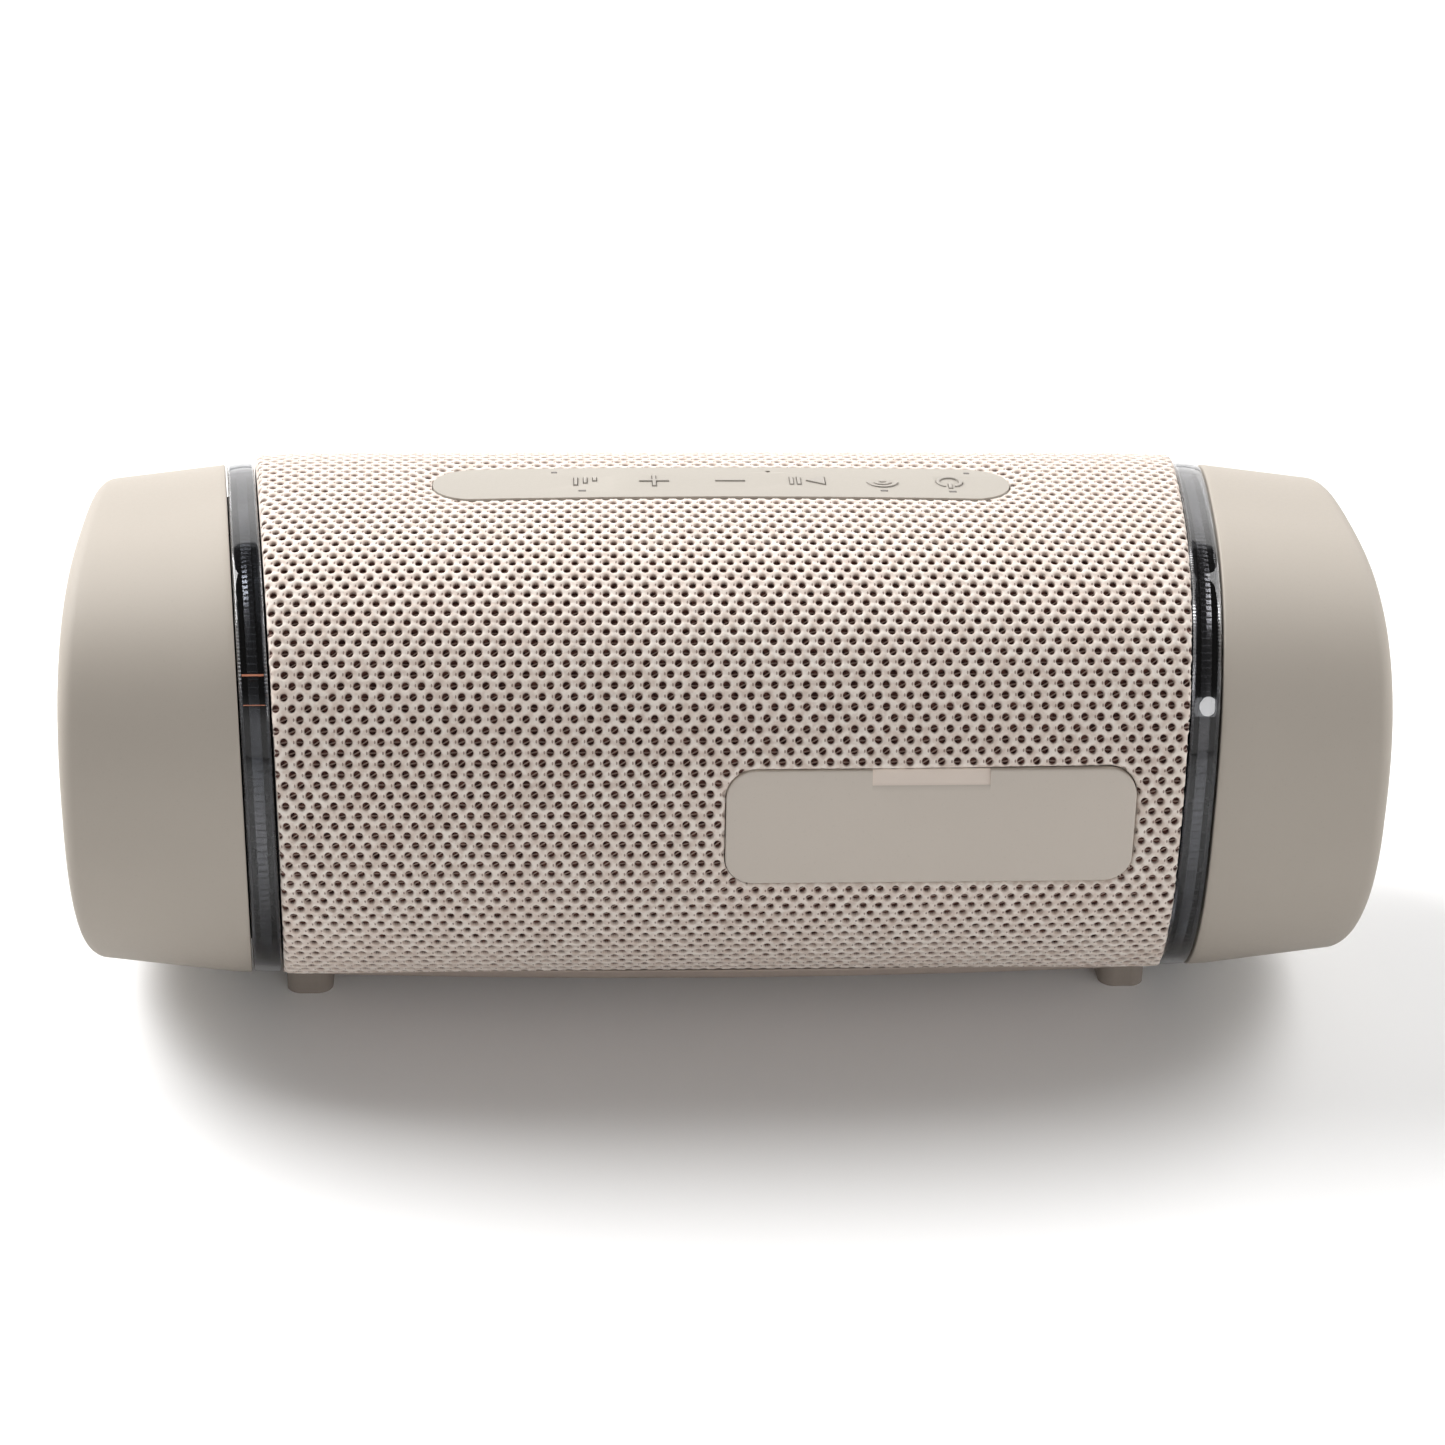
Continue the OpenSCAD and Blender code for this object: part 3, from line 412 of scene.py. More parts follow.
MAT = {
    "knit": knit(),
    "cap": plastic("cap_coating", srgb(175, 167, 157), 0.58, 1500.0, 0.10, 0.012, 0.06, 0.2,
                   specular=0.22),
    "base": plastic("base_moulding", srgb(184, 168, 157), 0.55, 1300.0, 0.12, 0.02, 0.08, 0.2),
    "foot": plastic("foot_rubber", srgb(150, 140, 131), 0.75, 1100.0, 0.2, 0.05, 0.1, 0.3),
    "lens": smoked(),
    "white": plastic("white_moulding", srgb(225, 224, 220), 0.35, 1200.0, 0.05, 0.02),
    "dark": plastic("dark_moulding", srgb(38, 36, 36), 0.5, 1500.0, 0.18, 0.08, 0.1, 0.3),
    "rubber": plastic("black_rubber", srgb(24, 24, 24), 0.7, 1200.0, 0.15, 0.08, 0.1),
    "plate": plastic("plate_moulding", srgb(42, 41, 41), 0.42, 1700.0, 0.2, 0.06, 0.1, 0.3),
    "steel": brushed("zinc_steel", (0.55, 0.56, 0.58)),
    "screw": brushed("dark_steel", (0.10, 0.10, 0.11), 0.35),
    "panel": plastic("panel_silicone", srgb(174, 168, 159), 0.60, 1500.0, 0.10, 0.012, 0.06, 0.15,
                     specular=0.3),
    # painted shade: the raised marks are the panel's own colour, set a little darker for the shade
    # round their edges
    "key": plastic("key_mark_painted_shade", srgb(168, 162, 154), 0.55, 1500.0, 0.08, 0.02, 0.06, 0.2),
    "bay_key": plastic("bay_key", srgb(74, 70, 67), 0.5, 1500.0, 0.1, 0.03, 0.08, 0.2),
    "pipe": plastic("frosted_pipe", srgb(96, 90, 86), 0.35, 1500.0, 0.05, 0.03),
    "board": board("solder_mask"),
    "switch": brushed("tin_can", (0.62, 0.62, 0.64), 0.30),
    "brass": brushed("brass_can", (0.62, 0.47, 0.20), 0.34),
    "cover": plastic("cover_rubber", srgb(200, 191, 181), 0.62, 1400.0, 0.10, 0.012, 0.06, 0.2,
                     specular=0.3),
    # painted light: the notch's upward-facing slope gets a lighter copy of the cover's colour for the
    # light it catches
    "notch": plastic("cover_notch_painted_light", srgb(226, 213, 202), 0.62, 1400.0, 0.10, 0.012, 0.06, 0.2,
                     specular=0.3),
    "socket": brushed("nickel_shell", (0.66, 0.66, 0.68), 0.26),
    "cabinet": plastic("cabinet_moulding", srgb(34, 34, 36), 0.55, 1300.0, 0.2, 0.06, 0.1),
    "driver": plastic("driver_paint", srgb(58, 58, 60), 0.42, 1100.0, 0.2, 0.06, 0.1, 0.3,
                      metallic=0.3),
    "cone": plastic("cone_paper", srgb(48, 48, 50), 0.7, 700.0, 0.35, 0.1, 0.12),
    "wrap": plastic("cell_wrap", srgb(34, 92, 148), 0.28, 300.0, 0.1, 0.05, 0.08, coat=0.5),
    "wire": plastic("wire_sheath", srgb(176, 36, 28), 0.38, 500.0, 0.08, 0.06, 0.08),
    "chrome": brushed("reflector_chrome", (0.86, 0.86, 0.87), 0.16),
    "trough": plastic("trough_lacquer", srgb(16, 16, 18), 0.3, 900.0, 0.1, 0.05, 0.08,
                      metallic=0.5),
    "copper": plastic("copper_lead", srgb(208, 138, 110), 0.4, 900.0, 0.1, 0.08, 0.1,
                      metallic=0.2),
}

SLOT_MATERIAL = {
    "knit_fabric": "knit", "dark_plastic": "dark", "base_plastic": "base", "foot_rubber": "foot",
    "cap_plastic": "cap", "smoked_lens": "lens", "white_plastic": "white", "black_rubber": "rubber",
    "plate_plastic": "plate", "steel": "steel", "screw_steel": "screw", "panel_rubber": "panel",
    "key_plastic": "key", "light_pipe": "pipe", "board": "board", "switch_metal": "switch",
    "brass_can": "brass", "cover_rubber": "cover", "socket_metal": "socket",
    "cabinet_plastic": "cabinet", "driver_metal": "driver", "cone_paper": "cone",
    "cell_wrap": "wrap", "wire_sheath": "wire",
}

# ---------- CAD nodes that stay: smooth shading, softened edges, real materials ----------
MERGE = 2e-6                        # metres, between vertices that are one
SHARP = 32                          # degrees, of an edge that stays an edge
BEVEL = {
    "control_panel": 0.12, "port_bay": 0.15, "foot_left": 0.5, "foot_right": 0.5,
    "base_plate": 0.2, "radiator_frame_left": 0.2, "radiator_frame_right": 0.2,
    "radiator_plate_left": 0.2, "radiator_plate_right": 0.2, "radiator_screws": 0.08,
    "bay_key_link": 0.15, "bay_key_battery": 0.15, "usb_c_socket": 0.06, "usb_a_socket": 0.06,
    "key_power": 0.08, "key_pairing": 0.08, "key_play": 0.08, "key_volume_down": 0.08,
    "key_volume_up": 0.08, "key_sound_mode": 0.08,
}
slot_of = {s["node"]: s["material_slot"] for s in frame["record"]["subparts"]}
for name, o in NODES.items():
    o.data.materials.clear()
    key = SLOT_MATERIAL[slot_of[name]]
    o.data.materials.append(MAT["bay_key" if name.startswith("bay_key") else key])
    if "custom_normal" in o.data.attributes:
        o.data.attributes.remove(o.data.attributes["custom_normal"])
    o.data.polygons.foreach_set("use_smooth", [True] * len(o.data.polygons))
    o.modifiers.new("weld", "WELD").merge_threshold = MERGE
    if name in BEVEL:
        bevel = o.modifiers.new("bevel", "BEVEL")
        bevel.width = BEVEL[name] * MM
        bevel.segments = 2
        bevel.limit_method = "ANGLE"
        bevel.angle_limit = math.radians(40)
        bevel.harden_normals = False
        o.modifiers.new("normals", "WEIGHTED_NORMAL").keep_sharp = True
    else:
        o.modifiers.new("split", "EDGE_SPLIT").split_angle = math.radians(SHARP)

# ---------- the knitted mesh ----------
PITCH, ROW = 2.858, 2.013          # between holes along X and between rows along the section
FIRST_ROW_S = 56.66                # arc length from the top to a row, towards the rear
COLUMN_0 = 17                      # half pitches from a hole to the middle of the body
COLUMNS = (-56, 92)                # first half pitch, and the one after the last
DEPTH_CUT = 1.25                   # how far the mesh is tucked in along its edges
TUCK_R = 0.85                      # rounding of a tucked edge
TUCK_STRIP, TUCK_COVER = 0.15, 0.5  # shares of that rounding along the strip and the cover
PROUD, PROUD_X, PROUD_MAX = 1.15, 75.0, 1.3   # how far it stands proud at an x, and at most
PLAIN = (0.0, 1.6)                 # a place in a cell that is all yarn
SEED = 7


def stretch(s):
    """Spacing of the columns at the arc length s, a little closer at the top and the bottom."""
    t = (np.abs(s) / 1.02 - 78) / 78
    return 1 - 0.009 * t - 0.037 * t * t


def proud(x):
    """How far the stretched mesh stands out of the CAD face."""
    return np.minimum(PROUD * (x / PROUD_X) ** 2, PROUD_MAX)


def smooth(t):
    """0 to 1 with soft ends."""
    t = np.clip(t, 0, 1)
    return t * t * (3 - 2 * t)


def cell_outline():
    """The twelve points round one hole, half way to its neighbours."""
    ux, uy = PITCH / 2, ROW
    side = math.hypot(ux, uy) / 2
    nx, ny = ux / 2 / side, uy / 2 / side
    top = side / ny
    cy = (side - ux * nx) / ny
    slope = (cy + top) / 2
    p = [(ux, 0), (ux, cy), (ux / 2, slope), (0, top), (-ux / 2, slope), (-ux, cy)]
    return np.array(p + [(-x, -y) for x, y in p])


def fabric():
    """The knitted mesh: crests between the holes, a rim, a wall and a bottom in each hole."""
    rng = np.random.default_rng(SEED)
    ring = cell_outline()
    n_side = len(ring)
    first = math.ceil((-HALF_GIRTH - FIRST_ROW_S) / ROW)
    last = math.floor((HALF_GIRTH - FIRST_ROW_S) / ROW)
    centres = []
    for j in range(first, last + 1):
        for i in range(*COLUMNS):
            if (i + j) % 2 == 0:
                centres.append(((i - COLUMN_0) * PITCH / 2, FIRST_ROW_S + ROW * j))
    centres = np.array(centres)
    # keep the cells that reach over the mesh's edge
    centres = centres[edge_distance(centres[:, 0], centres[:, 1]) > -1.9]
    n = len(centres)
    luck = rng.random((n, 2))
    size = 1 + 0.05 * (rng.random(n) - 0.5)
    shift = 0.07 * (rng.random((n, 2)) - 0.5)
    angle = np.arctan2(ring[:, 1], ring[:, 0])

    # shared crest points
    crest = (centres[:, None, :] + ring[None]).reshape(-1, 2)
    keys = np.round(crest * 200).astype(np.int64)
    _, first_at, inverse = np.unique(keys, axis=0, return_index=True, return_inverse=True)
    crest_xy = crest[first_at]
    low = {0: 0.16, 6: 0.16, 1: 0.05, 5: 0.05, 7: 0.05, 11: 0.05}
    crest_low = np.array([low.get(k % n_side, 0.0) for k in first_at])
    crest_low = crest_low + 0.05 * rng.random(len(crest_low))

    # rings inside each cell, as share of the hole and depth: rim, lip, foot of the wall
    levels = [(1.22, 0.05), (1.0, 0.30), (0.86, 0.86)]
    inner, depth = [], []
    for scale, deep in levels:
        r = np.stack([HOLE_X * np.cos(angle), HOLE_S * np.sin(angle)], 1) * scale
        r = r[None] * size[:, None, None] + shift[:, None, :]
        inner.append(centres[:, None, :] + r)
        depth.append(np.full((n, n_side), deep))
    inner = np.stack(inner, 1)                       # n, levels, sides, 2
    depth = np.stack(depth, 1)
    middle = centres + shift
    xs = np.concatenate([crest_xy, inner.reshape(-1, 2), middle])
    relief = np.concatenate([crest_low, depth.ravel(), np.full(n, 0.86)])

    base = len(crest_xy)
    per = len(levels) * n_side
    mid_base = base + n * per
    k = np.arange(n_side)
    k2 = (k + 1) % n_side
    quads, corner_of = [], []
    rows = [inverse.reshape(n, n_side)] + [
        base + np.arange(n)[:, None] * per + lv * n_side + k[None] for lv in range(len(levels))]
    for a, b in zip(rows[:-1], rows[1:]):
        quads.append(np.stack([a[:, k], a[:, k2], b[:, k2], b[:, k]], -1).reshape(-1, 4))
        corner_of.append(np.repeat(np.arange(n), n_side))
    quads, quad_cell = np.concatenate(quads), np.concatenate(corner_of)
    tris = np.stack([rows[-1][:, k], rows[-1][:, k2],
                     np.repeat(mid_base + np.arange(n)[:, None], n_side, 1)], -1).reshape(-1, 3)
    tri_cell = np.repeat(np.arange(n), n_side)

    x, a, e, strip, cover = place_on_body(xs[:, 0], xs[:, 1])
    tuck = np.where(e <= 0, DEPTH_CUT,
                    TUCK_R - np.sqrt(np.clip(TUCK_R ** 2 - np.clip(TUCK_R - e, 0, None) ** 2, 0, None)))
    tuck *= np.where(strip <= e + 1e-9, TUCK_STRIP, np.where(cover <= e + 1e-9, TUCK_COVER, 1.0))
    free = 1 - np.clip(tuck / DEPTH_CUT, 0, 1)
    d = np.clip(tuck + relief * free, 0, DEPTH_CUT) - proud(x) * free * smooth(strip / 6)
    verts = points(x, a, d)
    outside = e <= 0
    quads, quad_cell = (v[~outside[quads].all(1)] for v in (quads, quad_cell))
    keep = ~outside[tris].all(1)
    tris, tri_cell = tris[keep], tri_cell[keep]

    # turned round, so that the faces look out
    quads, tris = quads[:, ::-1], tris[:, ::-1]
    local_q = xs[quads] - centres[quad_cell][:, None]
    local_t = xs[tris] - centres[tri_cell][:, None]
    cell_uv = np.concatenate([local_q.reshape(-1, 2), local_t.reshape(-1, 2)])
    cell_uv[:, 1] *= -1
    # the tucked edge shows yarn, not holes drawn out over it
    edge_q, edge_t = outside[quads].any(1), outside[tris].any(1)
    cell_uv[np.concatenate([np.repeat(edge_q, 4), np.repeat(edge_t, 3)])] = PLAIN
    luck_uv = np.concatenate([np.repeat(luck[quad_cell], 4, 0), np.repeat(luck[tri_cell], 3, 0)])
    used = np.unique(np.concatenate([quads.ravel(), tris.ravel()]))
    remap = np.zeros(len(verts), np.int64)
    remap[used] = np.arange(len(used))
    faces = remap[quads].tolist() + remap[tris].tolist()
    uvs = {"cell": cell_uv, "luck": luck_uv}
    o = mesh("fabric_knit", verts[used], faces, MAT["knit"], uvs=uvs)
    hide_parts("fabric_sleeve")
    return o


def stadium(x, y):
    """Offset from the control strip's middle line, and the nearest x on that line."""
    core = np.clip(x, -(STRIP_HALF - STRIP_R), STRIP_HALF - STRIP_R)
    return x - core, y - STRIP_Y, core


def cover_box(x, z):
    """Distance outside the cover's cut-out, and the nearest point on its edge."""
    x0, x1, z0, z1, r = COVER
    cx, cz = (x0 + x1) / 2, (z0 + z1) / 2
    hx, hz = (x1 - x0) / 2 + COVER_SIDE_GAP, (z1 - z0) / 2 + COVER_GAP
    r = r + COVER_GAP
    px, pz = np.abs(x - cx), np.abs(z - cz)
    qx, qz = px - (hx - r), pz - (hz - r)
    out = np.hypot(np.clip(qx, 0, None), np.clip(qz, 0, None))
    dist = out + np.minimum(np.maximum(qx, qz), 0) - r
    corner = (qx > 0) & (qz > 0)
    side = qx > qz
    norm = np.where(out > 1e-9, out, 1)
    ex = np.where(corner, hx - r + qx * r / norm, np.where(side, hx, px))
    ez = np.where(corner, hz - r + qz * r / norm, np.where(side, pz, hz))
    return dist, cx + np.sign(x - cx) * ex, cz + np.sign(z - cz) * ez


def place_on_body(u, s, clamp=True):
    """x, angle and distance inside the mesh's edges of a flat point.

    A point past an edge goes onto it when clamp is on. The last two values are the
    distances from the control strip and from the cover alone.
    """
    x = u * stretch(s)
    a = angle_of(-s)
    k = share(x)
    y, z = outline(a, k, 0.0)
    upper = z > MID_Z
    # the rings
    limit = RING_IN - SEAM + SLANT * y
    e1 = limit - np.abs(x)
    if clamp:
        x = np.where(e1 < 0, np.sign(x) * limit, x)
        k = share(x)
    # the base plate
    edge = angle_at_z(BASE_Z + SEAM, k, 1)
    e2 = arc_of(edge) * k - np.abs(s) * k
    if clamp:
        a = np.where(e2 < 0, np.sign(a) * edge, a)
        y, z = outline(a, k, 0.0)
    # the control strip
    dx, dy, core = stadium(x, y)
    far = np.hypot(dx, dy)
    e3 = np.where(upper, far - STRIP_R - SEAM, 99.0)
    if clamp:
        hit = e3 < 0
        safe = np.where(far > 1e-6, far, 1)
        nx, ny = core + dx / safe * (STRIP_R + SEAM), STRIP_Y + dy / safe * (STRIP_R + SEAM)
        x = np.where(hit, nx, x)
        k = share(x)
        a = np.where(hit, angle_at_y(ny, k), a)
        y, z = outline(a, k, 0.0)
    # the socket cover
    dist, ex, ez = cover_box(x, z)
    e4 = np.where(y < 0, dist, 99.0)
    if clamp:
        hit = e4 < 0
        x = np.where(hit, ex, x)
        k = share(x)
        a = np.where(hit, angle_at_z(ez, k, -1), a)
    return x, a, np.minimum.reduce([e1, e2, e3, e4]), e3, e4


def edge_distance(u, s):
    return place_on_body(u, s, clamp=False)[2]


fabric_knit = fabric()

# ---------- the cover over the sockets ----------
COVER_LOW = 44.45                  # the visible lower edge, just inside the hinge bead
NOTCH = (24.8, 46.1, 2.9, 0.55)    # left, right, height, depth at the top
HINGE_Z, BEAD_R, HINGE_Y0, HINGE_Y1 = 46.15, 1.7, 53.5, 52.2
MOUTH = (3.0, 68.5, 48.5, 64.5, 3.0)
FLAP_T = 1.8                       # thickness of the flap
OUTER_RINGS = 14                   # faces' rows on the outer side, in cover_flap


def y_at(x, z, d):
    """Distance of the section's face, inset by d, from the middle plane at the height z."""
    k = share(x)
    h = np.abs(z - MID_Z) / (HALF_H * k - d)
    p = np.where(z > MID_Z, TOP_SQ, LOW_SQ)
    return (HALF_D * k - d) * (1 - h ** p) ** (1 / p)


def rounded(x0, x1, z0, z1, r, g, stops=()):
    """Contour of a rounded rectangle inset by g, with points at the stops along top and bottom."""
    rho = max(r - g, 0.0)
    lx, hx, lz, hz = x0 + g + rho, x1 - g - rho, z0 + g + rho, z1 - g - rho
    if lz > hz:
        lz = hz = (z0 + z1) / 2
        lx, hx = x0 + (z1 - z0) / 2, x1 - (z1 - z0) / 2
    marks = [lx, *stops, hx]
    parts = [6 if stops else 12] + [6] * (len(marks) - 2)
    parts[0] = parts[-1] = 14
    spans = zip(marks[:-1], marks[1:], parts)
    xs = np.concatenate([np.linspace(a, b, n, endpoint=False) for a, b, n in spans] + [[hx]])
    turn = np.linspace(0, math.pi / 2, 9)[1:]
    arc = [(rho * math.sin(t), rho * math.cos(t)) for t in turn]
    out = [(x, hz + rho) for x in xs]
    out += [(hx + s, hz + c) for s, c in arc]
    out += [(hx + rho, z) for z in np.linspace(hz, lz, 7)[1:]]
    out += [(hx + c, lz - s) for s, c in arc]
    out += [(x, lz - rho) for x in xs[::-1][1:]]
    out += [(lx - s, lz - c) for s, c in arc]
    out += [(lx - rho, z) for z in np.linspace(lz, hz, 7)[1:]]
    out += [(lx - c, hz + s) for s, c in arc[:-1]]
    return np.array(out)


def cover_flap():
    """The cover's curved flap with its notch, and the plug behind it."""
    x0, x1, _, z1, r = COVER
    stops = (NOTCH[0] - 0.1, NOTCH[0] + 0.1, NOTCH[1] - 0.1, NOTCH[1] + 0.1)
    size = (x0, x1, COVER_LOW, z1, r)
    middle = (z1 - COVER_LOW) / 2

    def outer(g, d):
        """Outer face, inset by g from the outline and by d from the body's face."""
        c = rounded(*size, g, stops)
        x, z = c.T
        low = (x > NOTCH[0]) & (x < NOTCH[1]) & (z > z1 - NOTCH[2])
        cut = 0.15 + NOTCH[3] * np.clip((z - z1) / NOTCH[2] + 1, 0, 1)
        return np.stack([x, -y_at(x, z, d + cut * low) - proud(x), z], -1)

    def inner(g, t):
        """Inner face, a share t of the way in from the outer edge's depth."""
        c = rounded(*size, g, stops)
        x, z = c.T
        face = y_at(x, z, 0.0)
        deep = face - y_at(x, z, FLAP_T)
        u = np.clip(np.minimum(x - x0, x1 - x), 0, r)
        bead = BEAD_R - r + np.sqrt(np.clip(r * r - (r - u) ** 2, 0, None))
        axis = HINGE_Y0 - (x - x0) * (HINGE_Y0 - HINGE_Y1) / (x1 - x0)
        reach = np.clip(bead, 0, None) ** 2 - (HINGE_Z - z) ** 2
        near = face - axis + np.sqrt(np.clip(reach, 0, None))
        deep = np.where(z < HINGE_Z, np.clip(near, 0.3, deep), deep)
        return np.stack([x, -(face - deep * t), z], -1)

    flat = (middle, 9, 7, 5, 4, NOTCH[2] + 0.1, NOTCH[2] - 0.1, 2.2, 1.4, 0.8, 0.4)
    rings = [outer(g, 0.0) for g in flat]
    rings += [outer(0.22, 0.02), outer(0.10, 0.07), outer(0.03, 0.15), outer(0.0, 0.27)]
    rings += [inner(0.0, 0.9), inner(0.2, 1.0)]
    rings += [inner(g, 1.0) for g in (0.8, 1.4, 1.8, 3, 5, 7, 9, middle)]
    cols = len(rings[0])
    verts = np.concatenate(rings)
    faces = grid_faces(len(rings), cols, True)
    o = mesh("cover_flap", verts, faces, MAT["cover"], body=None)
    # the faces of the notch take the painted-light copy of the cover's colour
    o.data.materials.append(MAT["notch"])
    centre = verts[np.array(faces)].mean(1)
    lighter = (centre[:, 0] > NOTCH[0]) & (centre[:, 0] < NOTCH[1])
    lighter &= (centre[:, 2] > z1 - NOTCH[2]) & (np.arange(len(faces)) < OUTER_RINGS * cols)
    o.data.polygons.foreach_set("material_index", lighter.astype(np.int32))
    plug = []
    for g, y in ((1.6, 52.0), (1.6, 46.95), (1.75, 46.7), (1.95, 46.6),
                 (2.45, 46.6), (2.65, 46.7), (2.8, 46.95), (2.8, 52.0)):
        c = rounded(*MOUTH, g)
        plug.append(np.stack([c[:, 0], np.full(len(c), -y), c[:, 1]], -1))
    q = loft("cover_plug", plug, MAT["cover"], loop=True, body=None)
    for part in (o, q):
        close_up(part)
        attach(part, "cover")
    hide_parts("port_cover")


def close_up(o):
    """Merge the vertices that are one and turn all faces outwards."""
    b = bmesh.new()
    b.from_mesh(o.data)
    bmesh.ops.remove_doubles(b, verts=b.verts, dist=1e-6)
    bmesh.ops.dissolve_degenerate(b, dist=1e-7, edges=b.edges)
    bmesh.ops.recalc_face_normals(b, faces=b.faces)
    b.to_mesh(o.data)
    b.free()


cover_flap()

# ---------- end caps and light rings, lofted round the section ----------
SIDES = 256
ANGLES = angle_of((np.arange(SIDES) + 0.5) / SIDES * 2 * HALF_GIRTH - HALF_GIRTH)
CAP_EDGE, RIM_R, CAP_FLAT = 0.32, 3.3, 117.8   # rounding at the ring, at the rim, and its start


def slanted(x0, d, angles=ANGLES):
    """Ring on the slanted plane that crosses the middle at x0, with the inset d."""
    x = np.full(len(angles), float(x0))
    for _ in range(6):
        y, _z = outline(angles, share(x), d)      # share depends on x, so a few turns settle it
        x = x0 + SLANT * y
    return points(x, angles, d)


def between(first, x1, t, d):
    """Ring a share t of the way from the x of the ring first to the plane x1."""
    x = first[:, 0] * (1 - t) + x1 * t
    return points(x, ANGLES, d)


def circle(x, r):
    """Ring of radius r, its points in the directions of the section's points."""
    y, z = outline(ANGLES, RIM_SHARE, 0.0)
    t = np.arctan2(y, z - MID_Z)
    return np.stack([np.full(SIDES, float(x)), r * np.sin(t), MID_Z + r * np.cos(t)], -1)


def mirrored(rings, side):
    """Rings for the right side, or mirrored for the left."""
    return [np.asarray(r) * np.array([side, 1, 1]) for r in rings]


def end_cap(side, name, node):
    """One end cap: from the ring's plane over the rim into the round recess, and back inside."""
    a = RING_OUT + SEAM
    edge = slanted(a + CAP_EDGE, 0.0)
    rings = [slanted(a, 7.0), slanted(a, 1.2), slanted(a, 0.35), slanted(a + 0.1, 0.1), edge]
    for t in np.linspace(0.04, 1, 14):
        rings.append(between(edge, CAP_FLAT, t, 0.0))
    for phi in np.radians(np.linspace(9, 90, 10)):
        x = np.full(SIDES, CAP_FLAT + (END_X - CAP_FLAT) * math.sin(phi))
        rings.append(points(x, ANGLES, RIM_R * (1 - math.cos(phi))))
    rim = rings[-1]
    lip = circle(END_X, MOUTH_R)
    for t in (0.2, 0.5, 0.8, 1.0):
        rings.append(rim * (1 - t) + lip * t)
    rings += [circle(END_X - 0.12, MOUTH_R - 0.28), circle(END_X - 0.5, MOUTH_R - 0.6),
              circle(END_X - 2, RECESS_R + 0.1), circle(END_X - 2.4, RECESS_R)]
    rings += [circle(x, RECESS_R) for x in (117, 115, 113.5)]
    rings.append(points(np.full(SIDES, 113.4), ANGLES, 8.0))
    rings.append(slanted(a + 2, 8.0))
    o = loft(name, mirrored(rings, side), MAT["cap"], flip=side < 0, loop=True)
    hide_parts(node)


end_cap(1, "cap_right", "end_cap_right")
end_cap(-1, "cap_left", "end_cap_left")


def light_ring(side, name, node):
    """Smoked lens, with its width from 0 to 1 in the UV map "across"."""
    a, b = RING_IN + SEAM, RING_OUT - SEAM
    rings = [slanted(a, 1.2), slanted(a, 0.8), slanted(a + 0.05, 0.42), slanted(a + 0.3, 0.27)]
    for t in np.linspace(0.1, 0.9, 7):
        rings.append(slanted(a + (b - a) * t, 0.25 - 0.1 * math.sin(math.pi * t)))
    rings += [slanted(b - 0.3, 0.27), slanted(b - 0.05, 0.42), slanted(b, 0.8), slanted(b, 1.2)]
    for t in np.linspace(0.95, 0.05, 7):
        rings.append(slanted(a + (b - a) * t, 1.25))
    o = loft(name, mirrored(rings, side), MAT["lens"], flip=side < 0, loop=True)
    middle = SIDES // 4
    place = np.array([(r[middle, 0] - SLANT * r[middle, 1] - a) / (b - a) for r in rings])
    corner = np.zeros(len(o.data.loops), np.int32)
    o.data.loops.foreach_get("vertex_index", corner)
    across = np.stack([place[corner // SIDES], corner * 0.0], -1).astype(np.float32)
    o.data.uv_layers.new(name="across").data.foreach_set("uv", across.ravel())
    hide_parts(node)


light_ring(1, "lens_right", "light_ring_right")
light_ring(-1, "lens_left", "light_ring_left")


TEETH, TOOTH_STEPS = 420, 4
TOOTH_SHARE, RIB_DEPTH = 0.86, 0.30
TROUGH_ROWS = (2, 3, 4, 7, 8, 9)    # rows of the reflector's faces that are dark


def reflector(side, name, node):
    """Trough behind the lens: teeth along both edges, turned to the light from above, and ribs."""
    n = TEETH * TOOTH_STEPS
    index = np.arange(n)
    # a tooth's long face looks 45 degrees further up than the body does, then it drops back
    pitch = 2 * HALF_GIRTH / TEETH
    place = (index % TOOTH_STEPS) / (TOOTH_STEPS - 1) * 1.16
    slope, drop = np.minimum(place, 1.0), np.clip(place - 1, 0, 1)
    s = (index // TOOTH_STEPS + slope * TOOTH_SHARE + drop) * pitch - HALF_GIRTH
    angles = angle_of(s)
    rise = pitch * TOOTH_SHARE
    tooth = np.where(s < 0, rise * (1 - slope), rise * slope)
    rib = np.where((index // TOOTH_STEPS) % 2 == 0, 0.0, RIB_DEPTH)
    a, b = RING_IN + SEAM + 0.05, RING_OUT - SEAM - 0.05
    # share of the width, inset, and what is added to it
    profile = [(0.0, 3.6, 0), (0.0, 1.4, tooth), (0.11, 1.4, tooth), (0.115, 2.5, 0), (0.30, 2.7, 0),
               (0.32, 2.2, rib), (0.5, 2.05, rib), (0.68, 2.2, rib), (0.70, 2.7, 0), (0.885, 2.5, 0),
               (0.89, 1.4, tooth), (1.0, 1.4, tooth), (1.0, 3.6, 0)]
    rings = [slanted(a + (b - a) * t, d + extra, angles) for t, d, extra in profile]
    o = loft(name, mirrored(rings, side), MAT["chrome"], flip=side < 0, loop=True, smooth=False)
    o.data.materials.append(MAT["trough"])
    dark = np.isin(np.arange(len(o.data.polygons)) // n, TROUGH_ROWS)
    o.data.polygons.foreach_set("material_index", dark.astype(np.int32))
    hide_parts(node)


reflector(1, "reflector_ribs_right", "reflector_right")
reflector(-1, "reflector_ribs_left", "reflector_left")

# Sleeve of the radiators: its ends along x, inner and outer radius, radius of its flange
SLEEVE_ROOT, SLEEVE_TOP, SLEEVE_R, SLEEVE_FLANGE = 105.0, 109.8, (22.14, 22.36), 30.3


